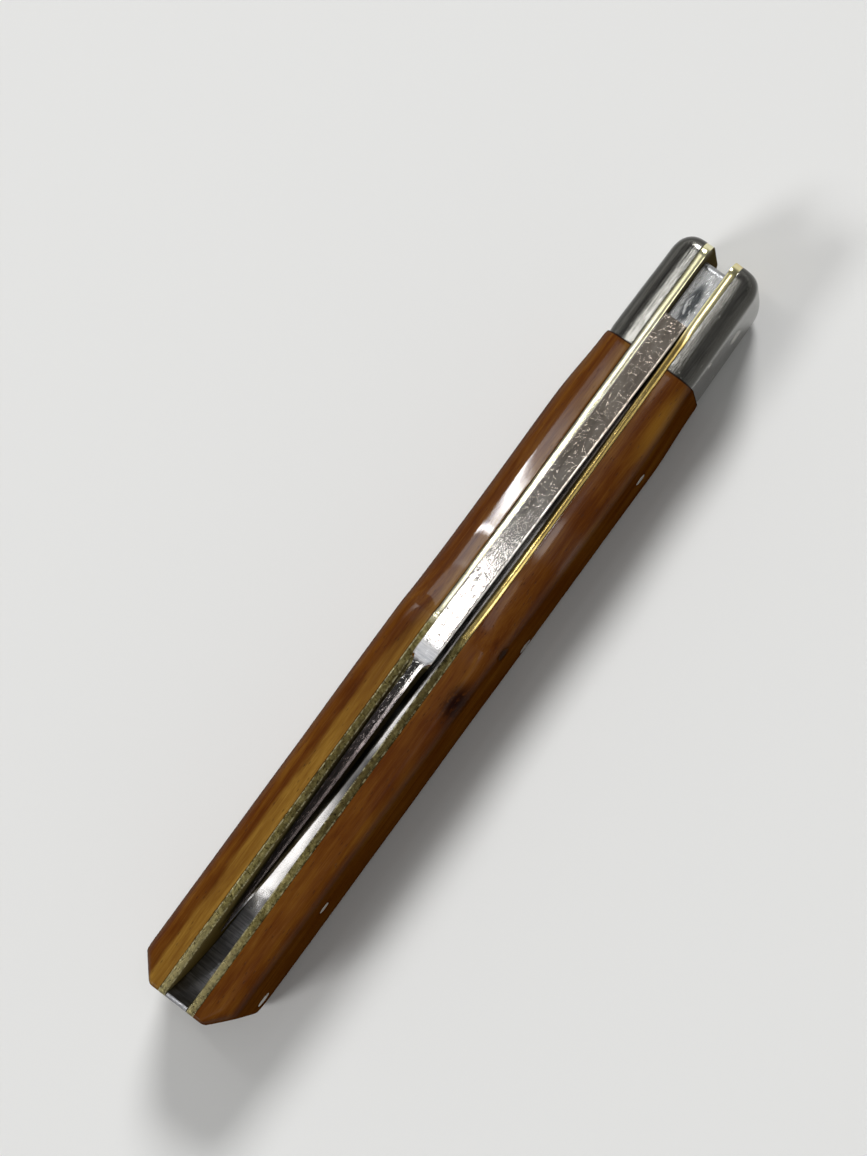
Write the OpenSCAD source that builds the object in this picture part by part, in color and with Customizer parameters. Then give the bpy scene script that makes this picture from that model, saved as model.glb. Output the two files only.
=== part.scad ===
// Single-blade slip-joint pocket knife, closed, standing on its back.
// X runs along the handle with the pivot end at +X, Y runs across it, Z points out of the opening edge.
// The origin is the middle of the back.

/* [Handle outline] */
// Length of the closed handle
handle_len = 95; // [90:0.5:104]
// Height of the opening edge at the butt end
butt_edge_z = 13.7; // [13:0.1:15]
// Height of the opening edge at its kink
kink_z = 13.8; // [13.2:0.1:15]
// Distance of the kink from the butt end
kink_from_butt = 47.5; // [40:0.5:52]
// Depth of the dip in the opening edge on the pivot side of the kink
dip = 0.9; // [0.3:0.05:1.2]
// Distance from the kink to the lowest point of the dip
dip_run = 11; // [6:0.5:16]
// Height of the opening edge at the bolsters
head_edge_z = 13.2; // [12.8:0.1:13.5]
// Radius of the opening-edge corner at the head
head_edge_r = 1.6; // [0.5:0.1:3]
// Radius of the back corner at the head
head_back_r = 3.6; // [2:0.1:4]
// Radius of the back corner at the butt
butt_back_r = 5; // [2:0.25:7]
// Radius of the opening-edge corner at the butt
butt_edge_r = 0.5; // [0.2:0.05:1.5]

/* [Liners and well] */
// Width of the blade well between the liners
well_w = 2.77; // [2.7:0.01:3.4]
// Thickness of each liner
liner_t = 0.9; // [0.6:0.01:1.2]

/* [Covers] */
// Thickness of each cover
cover_t = 3.7; // [3.2:0.01:4.5]
// How much thinner a cover is where it meets the bolster
cover_fall = 0.43; // [0:0.01:0.6]
// Length over which a cover thins towards the bolster
cover_fall_len = 9; // [4:0.5:10]
// Length of the slanted outer corner at the butt
butt_slant_len = 2.55; // [1.2:0.05:4]
// Width of the slanted outer corner at the butt
butt_slant_w = 2.3; // [1:0.05:2.6]
// Width of a cover's level band beside the liner
edge_band = 1.7; // [0.8:0.05:2.2]
// Height of the rounding below the opening edge
edge_drop = 2.1; // [1:0.05:3]
// Height of the rounding above the back
back_drop = 1.7; // [0.6:0.05:1.8]

/* [Bolsters] */
// Length of the bolsters
bolster_len = 13.2; // [11:0.1:16]
// How far a bolster lies below the cover beside it
bolster_step = 0.25; // [0:0.01:0.4]
// How much thinner a bolster gets from the joint to its nose
bolster_fall = 0.2; // [0:0.01:0.5]
// Width of a bolster's level band beside the liner
bolster_band = 0.8; // [0.5:0.05:1.7]
// Length of the rounded outer corner at the head
nose_round_len = 2.6; // [1.5:0.05:4]
// Width of the rounded outer corner at the head
nose_round_w = 1.8; // [0.8:0.05:2.2]

/* [Pivot and tang] */
// Distance from the pivot axis to the head end
pivot_from_head = 6; // [5.4:0.1:6.8]
// Distance from the pivot axis to each flat of the tang
tang_half = 4.48; // [4.2:0.02:4.8]
// Rounding of the two corners that pass over the spring
tang_corner_r = 0.8; // [0.4:0.1:2.5]
// Distance from the pivot axis back to the shoulder of the blade
shoulder_back = 2.5; // [1.5:0.1:3.2]
// Clearance between a tang flat and the spring
seat_gap = 0.02; // [0.01:0.01:0.05]
// Clearance between the tang and each liner
tang_side_gap = 0.1; // [0.05:0.01:0.2]
// Radius of the pivot pin
pivot_r = 1.3; // [1:0.05:1.8]
// Radial clearance of the blade on the pivot pin
pivot_gap = 0.03; // [0.02:0.01:0.08]

/* [Blade] */
// Thickness of the spine at the shoulder
spine_t = 2.55; // [2:0.05:2.55]
// Thickness of the blade where the swedges start
swedge_start_t = 2.33; // [1.8:0.01:2.35]
// Length of the clip with its swedges, from the step to the point
clip_len = 35.7; // [28:0.1:40]
// Rise of the spine from the shoulder to the start of the swedges
spine_rise = 2.1; // [0.8:0.1:2.6]
// Width of the ridge between the swedges
ridge_w = 1.1; // [0.8:0.05:1.5]
// Height of the swedges
swedge_h = 1.4; // [1:0.1:2.4]
// Distance from the point of the blade to the butt end
tip_room = 8.4; // [5.5:0.1:12]
// Height of the point of the closed blade above the back
tip_z = 11.2; // [9.5:0.1:12]
// Height of the cutting edge of the closed blade above the back
edge_line_z = 5.3; // [5:0.1:6]
// Length of the unground part between the tang and the grind
ricasso_len = 4; // [2:0.25:6]
// Length of the curved belly of the cutting edge
belly_len = 28; // [20:1:32]
// Height of the narrow bevel at the cutting edge
bevel_h = 0.5; // [0.3:0.05:0.8]
// Gap between the blade and the left liner where the swedges start
swedge_gap = 0.03; // [0.02:0.01:0.15]
// Gap between the point of the blade and the left liner
tip_gap = 0.35; // [0.05:0.01:1.1]
// Length of the nail nick
nick_len = 11; // [8:0.5:14]
// Depth of the nail nick
nick_depth = 0.45; // [0.3:0.05:0.6]
// Height of the nail nick
nick_h = 1.4; // [1:0.1:1.8]
// Distance from the spine down to the nail nick
nick_below = 0.9; // [0.6:0.05:1.5]
// Distance from the pivot axis to the middle of the nail nick
nick_from_pivot = 27; // [22:0.5:34]

/* [Back spring] */
// Height of the spring bar over its middle pin
bar_h = 3.9; // [3.8:0.1:4.4]
// Radius of the long hollow of the spring bar
bar_hollow_r = 400; // [300:10:800]
// Height of the spring bar where it starts down to its nose
bar_end_h = 3.2; // [2.6:0.1:3.6]
// Height of the spring nose under the tang
nose_h = 2.3; // [2:0.05:2.5]
// Clearance between the spring and each liner
spring_side_gap = 0.05; // [0.02:0.01:0.1]
// Radius of the hollow ramp at the butt end
ramp_r = 13; // [11:0.1:15]
// Thickness of the spring's end wall at the opening edge
end_wall = 0.56; // [0.4:0.02:1]
// Clearance between the spring's nose and the shoulder of the open blade
nose_gap = 0.1; // [0.05:0.01:0.2]

/* [Pins] */
// Radius of the two pins that hold the spring
spring_pin_r = 0.9; // [0.7:0.05:1.1]
// Distance from the pivot axis to the middle spring pin
centre_pin_from_pivot = 38.5; // [34:0.5:44]
// Height of the middle spring pin above the back
centre_pin_z = 2.6; // [2.5:0.05:2.8]
// Distance from the butt end to the butt spring pin
butt_pin_from_butt = 4.5; // [4:0.1:6]
// Height of the butt spring pin above the back
butt_pin_z = 4.6; // [4:0.1:5.5]
// Radius of the short cover pins
cover_pin_r = 0.7; // [0.5:0.05:0.9]
// Distance from the bolsters back to the front cover pins
front_pin_from_joint = 10.3; // [10:0.1:14]
// Height of the front cover pins
front_pin_z = 7; // [5:0.25:9]
// Distance from the butt end to the rear cover pins
rear_pin_from_butt = 16.5; // [12:0.5:24]
// Height of the rear cover pins
rear_pin_z = 9; // [6:0.25:10]
// Radius of the bolster rivets
rivet_r = 0.6; // [0.4:0.05:0.8]
// Distance from the covers to the bolster rivets
rivet_from_joint = 2.9; // [1.5:0.1:3.2]
// Distance from the pivot axis up or down to the bolster rivets
rivet_spread = 3.7; // [3:0.1:3.8]
// Radial clearance of the fixed pins in their holes
pin_gap = 0.02; // [0.01:0.01:0.04]
// How far the pin ends lie below the surface beside them
pin_recess = 0.02; // [0.01:0.01:0.1]

/* [Hidden] */
eps = 0.01;
// How far a cut reaches past what it cuts
past = 1;
round_fn = 96;

// Places along the handle
butt_x = -handle_len / 2;
head_x = handle_len / 2;
kink_x = butt_x + kink_from_butt;
dip_x = kink_x + dip_run;
joint_x = head_x - bolster_len;
round_x = head_x - head_back_r;
pivot_x = head_x - pivot_from_head;

// Places across the handle
liner_in_y = well_w / 2;
liner_out_y = liner_in_y + liner_t;
cover_out_y = liner_out_y + cover_t;

// The tang flats rest on the spring's nose, and the open blade's spine is flush with the back
pivot_z = nose_h + seat_gap + tang_half;
shoulder_x = pivot_x - shoulder_back;
shoulder_z = 2 * pivot_z;
tang_t = well_w - 2 * tang_side_gap;
tip_x = butt_x + tip_room;
swedge_x = tip_x + clip_len;
swedge_z = shoulder_z + spine_rise;

dip_z = kink_z - dip;

// Steps along each curved stretch of the outline
butt_steps = 12;
head_steps = 16;
curve_steps = 8;

function mix(a, b, t) = a + (b - a) * t;
function clamp01(t) = min(max(t, 0), 1);
function ease(t) = let (u = clamp01(t)) u * u * (3 - 2 * u);

// Height of the opening edge before its end corners are rounded
function edge_line(x) =
    x <= kink_x ? mix(butt_edge_z, kink_z, (x - butt_x) / (kink_x - butt_x)) :
    x <= dip_x ? dip_z + dip * pow((dip_x - x) / dip_run, 2) :
    mix(dip_z, head_edge_z, ease((x - dip_x) / (pivot_x - dip_x)));

// How far a corner of radius r has pulled the outline in, at a distance d from its end
function corner_in(r, d) = d >= r ? 0 : r - sqrt(r * r - pow(r - d, 2));

// Upper and lower outline of the handle
function top_z(x) = edge_line(x) - corner_in(butt_edge_r, x - butt_x) - corner_in(head_edge_r, head_x - x);
function back_z(x) = corner_in(butt_back_r, x - butt_x) + corner_in(head_back_r, head_x - x);

// Places along the handle where the outline has a point, close together at both round ends
butt_xs = [for (k = [0:butt_steps]) butt_x + butt_back_r * pow(k / butt_steps, 2)];
dip_xs = [for (k = [0:curve_steps]) mix(kink_x, dip_x, k / curve_steps)];
rise_xs = [for (k = [1:curve_steps - 1]) mix(dip_x, joint_x, k / curve_steps)];
bolster_xs = [for (k = [0:2]) mix(joint_x, round_x, k / 2)];
head_xs = [for (k = [1:head_steps]) head_x - head_back_r * pow(1 - k / head_steps, 2)];
cover_xs = concat(butt_xs, [mix(butt_xs[butt_steps], kink_x, 0.5)], dip_xs, rise_xs, [joint_x]);
nose_xs = concat(bolster_xs, head_xs);
handle_xs = concat(cover_xs, [for (x = nose_xs) if (x > joint_x) x]);

// Thickness of a cover and of a bolster along the handle, whose nose stops short of a full quarter round
nose_round_share = 0.98;
function cover_thick(x) =
    let (slant = clamp01(1 - (x - butt_x) / butt_slant_len))
    let (fall = ease((x - joint_x + cover_fall_len) / cover_fall_len))
    cover_t - slant * butt_slant_w - fall * cover_fall;
function bolster_thick(x) =
    let (fall = clamp01((x - joint_x) / (bolster_len - nose_round_len)))
    let (in = clamp01((x - head_x + nose_round_len) / nose_round_len))
    cover_t - cover_fall - bolster_step - fall * bolster_fall
    - nose_round_w * (1 - sqrt(1 - pow(in, 2) * nose_round_share));

// Cross-section of a cover or bolster, from its inner back corner round to its outer back edge
round_steps = 6;
// Largest share of its thickness that is level, and of its height that one rounding takes
band_share = 0.46;
drop_share = 0.45;
function scale_section(x, thick, level) =
    let (zt = top_z(x), zb = back_z(x))
    let (band = min(level, thick * band_share))
    let (drop = min(edge_drop, (zt - zb) * drop_share))
    let (rise = min(back_drop, (zt - zb) * drop_share))
    concat(
        [[x, liner_out_y, zb], [x, liner_out_y, zt]],
        [for (k = [0:round_steps])
            let (a = 90 * k / round_steps)
            [x, liner_out_y + band + (thick - band) * sin(a), zt - drop * (1 - cos(a))]],
        [for (k = [round_steps:-1:0])
            let (a = 90 * k / round_steps)
            [x, liner_out_y + band + (thick - band) * sin(a), zb + rise * (1 - cos(a))]]
    );

// Solid through a list of cross-sections that all have the same number of points
module loft(sections) {
    n = len(sections[0]);
    m = len(sections);
    points = [for (s = sections) each s];
    sides = [
        for (i = [0:m - 2])
            for (j = [0:n - 1])
                let (a = i * n + j, b = i * n + (j + 1) % n)
                each [[a, b, b + n], [a, b + n, a + n]]
    ];
    first = [for (j = [n - 1:-1:0]) j];
    last = [for (j = [0:n - 1]) (m - 1) * n + j];
    polyhedron(points = points, faces = concat(sides, [first], [last]));
}

// Cylinder across the handle between two values of Y
module cross_pin(x, z, r, y0, y1) {
    translate([x, y1, z])
        rotate([90, 0, 0])
            cylinder(r = r, h = y1 - y0, $fn = round_fn);
}

// Flat shape in the X-Z plane, given thickness between two values of Y
module plate(y0, y1) {
    translate([0, y1, 0])
        rotate([90, 0, 0])
            linear_extrude(height = y1 - y0)
                children();
}

// Mirrors its children to the right side of the handle
module right_side() {
    mirror([0, 1, 0])
        children();
}

// Places of the pins, as [x, z, r]
centre_pin = [pivot_x - centre_pin_from_pivot, centre_pin_z, spring_pin_r];
butt_pin = [butt_x + butt_pin_from_butt, butt_pin_z, spring_pin_r];
front_pin = [joint_x - front_pin_from_joint, front_pin_z, cover_pin_r];
rear_pin = [butt_x + rear_pin_from_butt, rear_pin_z, cover_pin_r];
upper_rivet = [joint_x + rivet_from_joint, pivot_z + rivet_spread, rivet_r];
lower_rivet = [joint_x + rivet_from_joint, pivot_z - rivet_spread, rivet_r];
pivot_hole = [pivot_x, pivot_z, pivot_r];
cover_holes = [centre_pin, butt_pin, front_pin, rear_pin];
bolster_holes = [pivot_hole, upper_rivet, lower_rivet];

// Holes for a list of pins between two values of Y
module pin_holes(pins, y0, y1) {
    for (p = pins)
        cross_pin(p[0], p[1], p[2] + pin_gap, y0, y1);
}

module handle_outline() {
    back = [for (x = handle_xs) [x, back_z(x)]];
    top = [for (k = [len(handle_xs) - 1:-1:0]) [handle_xs[k], top_z(handle_xs[k])]];
    polygon(concat(back, top));
}

module liner() {
    color("goldenrod")
        difference() {
            plate(liner_in_y, liner_out_y)
                handle_outline();
            pin_holes(concat(cover_holes, bolster_holes), liner_in_y - past, liner_out_y + past);
        }
}

module cover() {
    color([0.5, 0.3, 0.1])
        difference() {
            loft([for (x = cover_xs) scale_section(x, cover_thick(x), edge_band)]);
            pin_holes(cover_holes, liner_out_y - past, cover_out_y + past);
        }
}

module bolster() {
    color([0.78, 0.77, 0.72])
        difference() {
            loft([for (x = nose_xs) scale_section(x, bolster_thick(x), bolster_band)]);
            pin_holes(bolster_holes, liner_out_y - past, cover_out_y + past);
        }
}

// Length of the step from the full spine to the ridge between the swedges
swedge_run = 1.1;
// Smallest chamfer along the edges of the spine
spine_chamfer = 0.1;
// Height of the underside between the kick and the edge
choil_lift = 1.3;
choil_z = pivot_z - tang_half + choil_lift;
choil_len = 1.6;
kick_len = 0.8;
choil_x = pivot_x - tang_half - kick_len;
grind_x = choil_x - ricasso_len;
grind_run = 1.5;
belly_x = tip_x + belly_len;
// Shares of the blade's height
swedge_share = 0.3;
bevel_share = 0.15;
// Largest widths of the bevel and the ridge, as shares of the blade's width beside them
bevel_width_share = 0.7;
ridge_width_share = 0.8;
// Thicknesses of the sharp places, as half widths
bevel_half = 0.28;
edge_half = 0.03;
tip_half = 0.08;
tip_height = 0.35;
// How late along the clip the blade thins, the ridge narrows and the gap beside the point opens
taper_bend = 1.8;
ridge_bend = 3;
gap_bend = 6;
belly_bend = 2.2;
// Length over which the blade comes to lie along the liner
lean_run = 8;
// How hollow the clip is, as a share of its fall
clip_bow = 0.08;
// Sideways place of the blade where the swedges start
swedge_lean = liner_in_y - swedge_gap - swedge_start_t / 2;

function clip_t(x) = clamp01((swedge_x - x) / clip_len);
function spine_z(x) =
    x >= swedge_x ? mix(swedge_z, shoulder_z, (x - swedge_x) / (shoulder_x - swedge_x)) :
    let (t = clip_t(x))
    mix(swedge_z, tip_z, t + clip_bow * t * (1 - t));
function low_z(x) =
    x >= belly_x ? mix(edge_line_z, choil_z, ease((x - choil_x + choil_len) / choil_len)) :
    mix(edge_line_z, tip_z - tip_height, pow((belly_x - x) / belly_len, belly_bend));
function blade_half(x) =
    x >= swedge_x ? mix(swedge_start_t, spine_t, (x - swedge_x) / (shoulder_x - swedge_x)) / 2 :
    mix(swedge_start_t / 2, tip_half, pow(clip_t(x), taper_bend));

// The grind thins the blade evenly from the spine to the narrow bevel at the cutting edge
function grind_amount(x) = ease((grind_x - x) / grind_run);
function blade_tall(x) = spine_z(x) - low_z(x);
function bevel_tall(x) = min(bevel_h, blade_tall(x) * bevel_share);
function ground_half(x, down) =
    let (half = blade_half(x))
    let (share = grind_amount(x) * down / (blade_tall(x) - bevel_tall(x)))
    mix(half, min(bevel_half, half * bevel_width_share), share);

// Height and half width of the swedges' lower edge, where they are fully cut
function swedge_tall(x) = min(swedge_h, blade_tall(x) * swedge_share);
function foot_half(x) = ground_half(x, swedge_tall(x));

// The blade is straight to the swedges and lies along the left liner from there
function lean_y(x) =
    let (gap = mix(swedge_gap, tip_gap, pow(clip_t(x), gap_bend)))
    let (widest = mix(blade_half(x), foot_half(x), ease((swedge_x - x) / lean_run)))
    x >= swedge_x ? swedge_lean * (shoulder_x - x) / (shoulder_x - swedge_x) :
    liner_in_y - gap - widest;

// Cross-section of the blade, from the ridge down the left side and up the right side
function blade_section(x) =
    let (zs = spine_z(x), ze = low_z(x), h = blade_half(x), y = lean_y(x))
    let (step = ease((swedge_x - x) / swedge_run))
    let (ridge = mix(ridge_w / 2, tip_half / 2, pow(clip_t(x), ridge_bend)))
    let (ridge_half = mix(h - spine_chamfer, min(ridge, foot_half(x) * ridge_width_share), step))
    let (swedge = mix(spine_chamfer, swedge_tall(x), step))
    let (bevel = bevel_tall(x))
    let (side = [
        [ridge_half, zs],
        [ground_half(x, swedge), zs - swedge],
        [ground_half(x, zs - ze - bevel), ze + bevel],
        [mix(h, edge_half, grind_amount(x)), ze]
    ])
    concat(
        [for (p = side) [x, y + p[0], p[1]]],
        [for (k = [len(side) - 1:-1:0]) [x, y - side[k][0], side[k][1]]]
    );

// Places along the blade where its cross-section changes, from the point to the shoulder
tip_xs = [for (k = [0:11]) mix(tip_x, belly_x, k / 12)];
clip_xs = [for (k = [0:4]) mix(belly_x, swedge_x - swedge_run, k / 4)];
step_xs = [for (k = [1:6]) swedge_x - swedge_run * (1 - k / 6)];
flat_xs = [mix(swedge_x, grind_x, 0.5)];
grind_xs = [for (k = [0:5]) grind_x - grind_run * (1 - k / 5)];
choil_xs = [for (k = [0:5]) choil_x - choil_len * (1 - k / 5)];
blade_xs = concat(
    [for (x = concat(tip_xs, clip_xs)) if (x < swedge_x - swedge_run - eps) x],
    [swedge_x - swedge_run], step_xs, flat_xs, grind_xs, choil_xs, [shoulder_x]
);

// The square tang: two of its corners are round, because they pass over the spring
module tang() {
    half = tang_half;
    r = tang_corner_r;
    y = tang_t / 2;
    translate([pivot_x, 0, pivot_z]) {
        translate([-half, -y, -half])
            cube([2 * half - r, tang_t, 2 * half]);
        translate([half - r - eps, -y, r - half])
            cube([r + eps, tang_t, 2 * (half - r)]);
        for (side = [-1, 1])
            cross_pin(half - r, side * (half - r), r, -y, y);
    }
}

// A flat-topped groove with a sloping floor, cut by a disc much wider than the blade is thick
module nail_nick() {
    x = pivot_x - nick_from_pivot;
    top = spine_z(x) - nick_below;
    disc_r = (pow(nick_len / 2, 2) + pow(nick_depth, 2)) / (2 * nick_depth);
    face_y = lean_y(x) + ground_half(x, nick_below);
    translate([x, face_y - nick_depth + disc_r, top - nick_h])
        cylinder(r1 = disc_r - nick_depth, r2 = disc_r, h = nick_h, $fn = 4 * round_fn);
}

module blade() {
    color([0.75, 0.76, 0.78])
        difference() {
            union() {
                loft([for (x = blade_xs) blade_section(x)]);
                tang();
            }
            cross_pin(pivot_x, pivot_z, pivot_r + pivot_gap, -well_w, well_w);
            nail_nick();
        }
}

// Places along the spring
spring_y = well_w / 2 - spring_side_gap;
nose_x = 2 * pivot_x - shoulder_x - nose_gap;
pin_room = 2;
taper_x = centre_pin[0] + pin_room;
// The long hollow is lowest over the middle pin, and the ramp runs from the end wall smoothly into it
hollow_x = centre_pin[0];
hollow_z = bar_h + bar_hollow_r;
wall_x = butt_x + end_wall;
wall_dir = [hollow_x - wall_x, hollow_z - butt_edge_z] / norm([hollow_x - wall_x, hollow_z - butt_edge_z]);
wall_span = norm([hollow_x - wall_x, hollow_z - butt_edge_z]);
along = (ramp_r * ramp_r - pow(bar_hollow_r - ramp_r, 2) + wall_span * wall_span) / (2 * wall_span);
aside = sqrt(ramp_r * ramp_r - along * along);
ramp_x = wall_x + along * wall_dir[0] + aside * wall_dir[1];
ramp_z = butt_edge_z + along * wall_dir[1] - aside * wall_dir[0];
meet_x = hollow_x + (ramp_x - hollow_x) * bar_hollow_r / (bar_hollow_r - ramp_r);
ramp_step = 0.6;
block_x = meet_x - ramp_step;
hollow_steps = 12;
// The inside of the spring falls to the nose just outside the circle that the tang's corners sweep
sweep_room = 0.3;
nose_run = 2.2;
sweep_r = (tang_half - tang_corner_r) * sqrt(2) + tang_corner_r + sweep_room;
nose_start_x = pivot_x - sqrt(sweep_r * sweep_r - tang_half * tang_half) - sweep_room;
bar_end_x = nose_start_x - nose_run;

function hollow_top(x) = hollow_z - sqrt(bar_hollow_r * bar_hollow_r - pow(hollow_x - x, 2));

module spring_profile() {
    back = [for (x = concat(handle_xs, [nose_x])) if (x < nose_x + eps) [min(x, nose_x), back_z(x)]];
    corner = [for (x = butt_xs) if (x < block_x) [x, top_z(x)]];
    top = concat(
        [[nose_x, nose_h], [nose_start_x, nose_h], [bar_end_x, bar_end_h], [taper_x, bar_h]],
        [for (k = [0:hollow_steps]) let (x = mix(hollow_x, block_x, k / hollow_steps)) [x, hollow_top(x)]],
        [[block_x, top_z(block_x)]],
        [for (k = [len(corner) - 1:-1:0]) corner[k]]
    );
    polygon(concat(back, top));
}

module back_spring() {
    color([0.62, 0.63, 0.66])
        difference() {
            plate(-spring_y, spring_y)
                spring_profile();
            cross_pin(ramp_x, ramp_z, ramp_r, -spring_y - past, spring_y + past, $fn = 2 * round_fn);
            pin_holes([centre_pin, butt_pin], -spring_y - past, spring_y + past);
        }
}

// A pin right through the handle, flush with the outside at half width y
module through_pin(p, y) {
    cross_pin(p[0], p[1], p[2], pin_recess - y, y - pin_recess);
}

// A short pin through one liner and what lies on it, from the well to half width y
module short_pin(p, y) {
    cross_pin(p[0], p[1], p[2], liner_in_y + pin_recess, y - pin_recess);
}

module pivot_pin() {
    color("silver")
        through_pin(pivot_hole, liner_out_y + bolster_thick(pivot_x + pivot_r));
}

module spring_pin(p) {
    color("silver")
        through_pin(p, cover_out_y);
}

module cover_pin(p) {
    color("silver")
        short_pin(p, cover_out_y);
}

module bolster_rivet(p) {
    color("silver")
        short_pin(p, liner_out_y + bolster_thick(p[0] + rivet_r));
}

blade();
back_spring();
liner();  // liner_left
right_side() liner();  // liner_right
cover();  // cover_left
right_side() cover();  // cover_right
bolster();  // bolster_left
right_side() bolster();  // bolster_right
pivot_pin();
spring_pin(centre_pin);  // spring_centre_pin
spring_pin(butt_pin);  // spring_butt_pin
cover_pin(front_pin);  // cover_pin_left_front
cover_pin(rear_pin);  // cover_pin_left_rear
right_side() cover_pin(front_pin);  // cover_pin_right_front
right_side() cover_pin(rear_pin);  // cover_pin_right_rear
bolster_rivet(upper_rivet);  // bolster_rivet_left_upper
bolster_rivet(lower_rivet);  // bolster_rivet_left_lower
right_side() bolster_rivet(upper_rivet);  // bolster_rivet_right_upper
right_side() bolster_rivet(lower_rivet);  // bolster_rivet_right_lower
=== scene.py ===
"""Single-blade slip-joint pocket knife, closed and standing on its back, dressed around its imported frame."""
from math import cos, exp, pi, radians, sin, sqrt

import bmesh
import bpy
from mathutils import Matrix, Vector, noise


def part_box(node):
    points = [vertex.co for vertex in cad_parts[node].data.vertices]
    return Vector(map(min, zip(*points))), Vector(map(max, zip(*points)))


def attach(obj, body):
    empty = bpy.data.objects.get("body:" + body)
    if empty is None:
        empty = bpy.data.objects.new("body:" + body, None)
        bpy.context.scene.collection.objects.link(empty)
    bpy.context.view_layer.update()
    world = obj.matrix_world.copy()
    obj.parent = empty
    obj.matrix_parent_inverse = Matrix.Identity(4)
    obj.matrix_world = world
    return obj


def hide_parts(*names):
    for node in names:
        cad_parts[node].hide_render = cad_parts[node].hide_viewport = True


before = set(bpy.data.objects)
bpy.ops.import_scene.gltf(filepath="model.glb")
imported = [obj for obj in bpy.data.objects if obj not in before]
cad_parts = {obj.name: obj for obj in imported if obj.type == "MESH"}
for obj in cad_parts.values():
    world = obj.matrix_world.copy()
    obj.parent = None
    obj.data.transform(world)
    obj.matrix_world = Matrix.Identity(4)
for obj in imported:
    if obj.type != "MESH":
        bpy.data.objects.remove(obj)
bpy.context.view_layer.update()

MM = 0.001


def box_mm(node):
    """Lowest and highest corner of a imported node, in millimetres."""
    low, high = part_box(node)
    return [v / MM for v in low], [v / MM for v in high]


def pin_axis(node):
    """Place along the knife, height and radius of a packed pin, in millimetres."""
    low, high = box_mm(node)
    return (low[0] + high[0]) / 2, (low[2] + high[2]) / 2, (high[0] - low[0]) / 2


def mix(a, b, t):
    return a + (b - a) * t


def clamp01(t):
    return min(max(t, 0.0), 1.0)


def ease(t):
    u = clamp01(t)
    return u * u * (3 - 2 * u)


def rough(x, y, z, size, seed):
    """Smooth unevenness from -1 to 1 whose lumps are about size millimetres across."""
    return noise.noise(Vector((x / size + seed, y / size - seed, z / size + 0.5 * seed)))


def spread(a, b, n):
    return [mix(a, b, k / n) for k in range(n + 1)]


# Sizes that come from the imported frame, in millimetres
LINER_LOW, LINER_HIGH = box_mm("liner_left")
COVER_HIGH = box_mm("cover_left")[1]
BLADE_LOW, BLADE_HIGH = box_mm("blade")
SPRING_HIGH = box_mm("back_spring")[1]
BUTT_X, HEAD_X = LINER_LOW[0], LINER_HIGH[0]
LINER_IN, LINER_OUT = LINER_LOW[1], LINER_HIGH[1]
COVER_T = COVER_HIGH[1] - LINER_OUT
JOINT_X = box_mm("bolster_left")[0][0]
TIP_X = BLADE_LOW[0]
NOSE_X, SPRING_Y = SPRING_HIGH[:2]
PIVOT_X, PIVOT_Z = pin_axis("pivot_pin")[:2]
TANG_HALF = BLADE_HIGH[0] - PIVOT_X

# Outline of the handle, as in the part's source
BUTT_EDGE_Z = 13.7
KINK_Z = 13.8
KINK_X = BUTT_X + 47.5
DIP = 0.9
DIP_RUN = 11.0
HEAD_EDGE_Z = 13.2
HEAD_EDGE_R = 1.6
HEAD_BACK_R = 3.6
BUTT_BACK_R = 5.0
BUTT_EDGE_R = 0.5
DIP_X = KINK_X + DIP_RUN
ROUND_X = HEAD_X - HEAD_BACK_R

# Covers and bolsters
COVER_FALL = 0.43
COVER_FALL_LEN = 9.0
BUTT_SLANT_LEN = 2.55
BUTT_SLANT_W = 2.3
EDGE_BAND = 1.7
HEAD_BAND = {"left": 1.0, "right": 0.25}
HEAD_FROM_X = -2.0
HEAD_LEAN = 0.13
EDGE_DROP = 2.1
BACK_DROP = 1.7
BOLSTER_STEP = 0.25
BOLSTER_FALL = 0.2
BOLSTER_BAND = {"left": 0.35, "right": 0.1}
NOSE_ROUND_LEN = 2.6
NOSE_ROUND_W = 1.8

# Blade
SPINE_T = 2.55
SWEDGE_START_T = 2.33
CLIP_LEN = 35.7
CLIP_BOW = 0.08
SPINE_RISE = 2.1
RIDGE_W = 1.1
SWEDGE_H = 1.4
SWEDGE_SHARE = 0.3
SWEDGE_RUN = 1.9
TIP_Z = 11.2
TIP_HALF = 0.08
TIP_HEIGHT = 0.35
SWEDGE_GAP = 0.03
TIP_GAP = 0.35
TAPER_BEND = 1.8
RIDGE_BEND = 3.0
GAP_BEND = 6.0
BELLY_BEND = 2.2
LEAN_RUN = 8.0
EDGE_LINE_Z = 5.3
RICASSO_LEN = 4.0
BELLY_LEN = 28.0
BEVEL_H = 0.5
BEVEL_SHARE = 0.15
BEVEL_HALF = 0.28
EDGE_HALF = 0.03
BEVEL_WIDTH_SHARE = 0.7
RIDGE_WIDTH_SHARE = 0.8
GRIND_RUN = 1.5
CHOIL_LIFT = 1.3
CHOIL_LEN = 1.6
CHOIL_GAP = 0.8
SPINE_CHAMFER = 0.1
SWEDGE_HOLLOW = 0.04
RIDGE_WEAR = 0.075
RIDGE_WEAR_SHARE = 0.3
RIGHT_SWEDGE_SHARE = 0.45
RIGHT_SWEDGE_RUN = 3.0
SPINE_WORN_W = 0.15
SPINE_WORN_DEEP = 0.02
SHOULDER_BACK = 2.5
TANG_CORNER_R = 0.8
NICK_LEN = 11.0
NICK_DEPTH = 0.45
NICK_H = 1.4
NICK_BELOW = 0.9
NICK_X = PIVOT_X - 27.0
NICK_FROM, NICK_TO = NICK_X - NICK_LEN / 2 - 1, NICK_X + NICK_LEN / 2 + 1
SHOULDER_X = PIVOT_X - SHOULDER_BACK
SHOULDER_Z = 2 * PIVOT_Z
TANG_TOP = PIVOT_Z + TANG_HALF
TANG_LOW = PIVOT_Z - TANG_HALF
TANG_Y = BLADE_HIGH[1]
SWEDGE_X = TIP_X + CLIP_LEN
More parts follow.
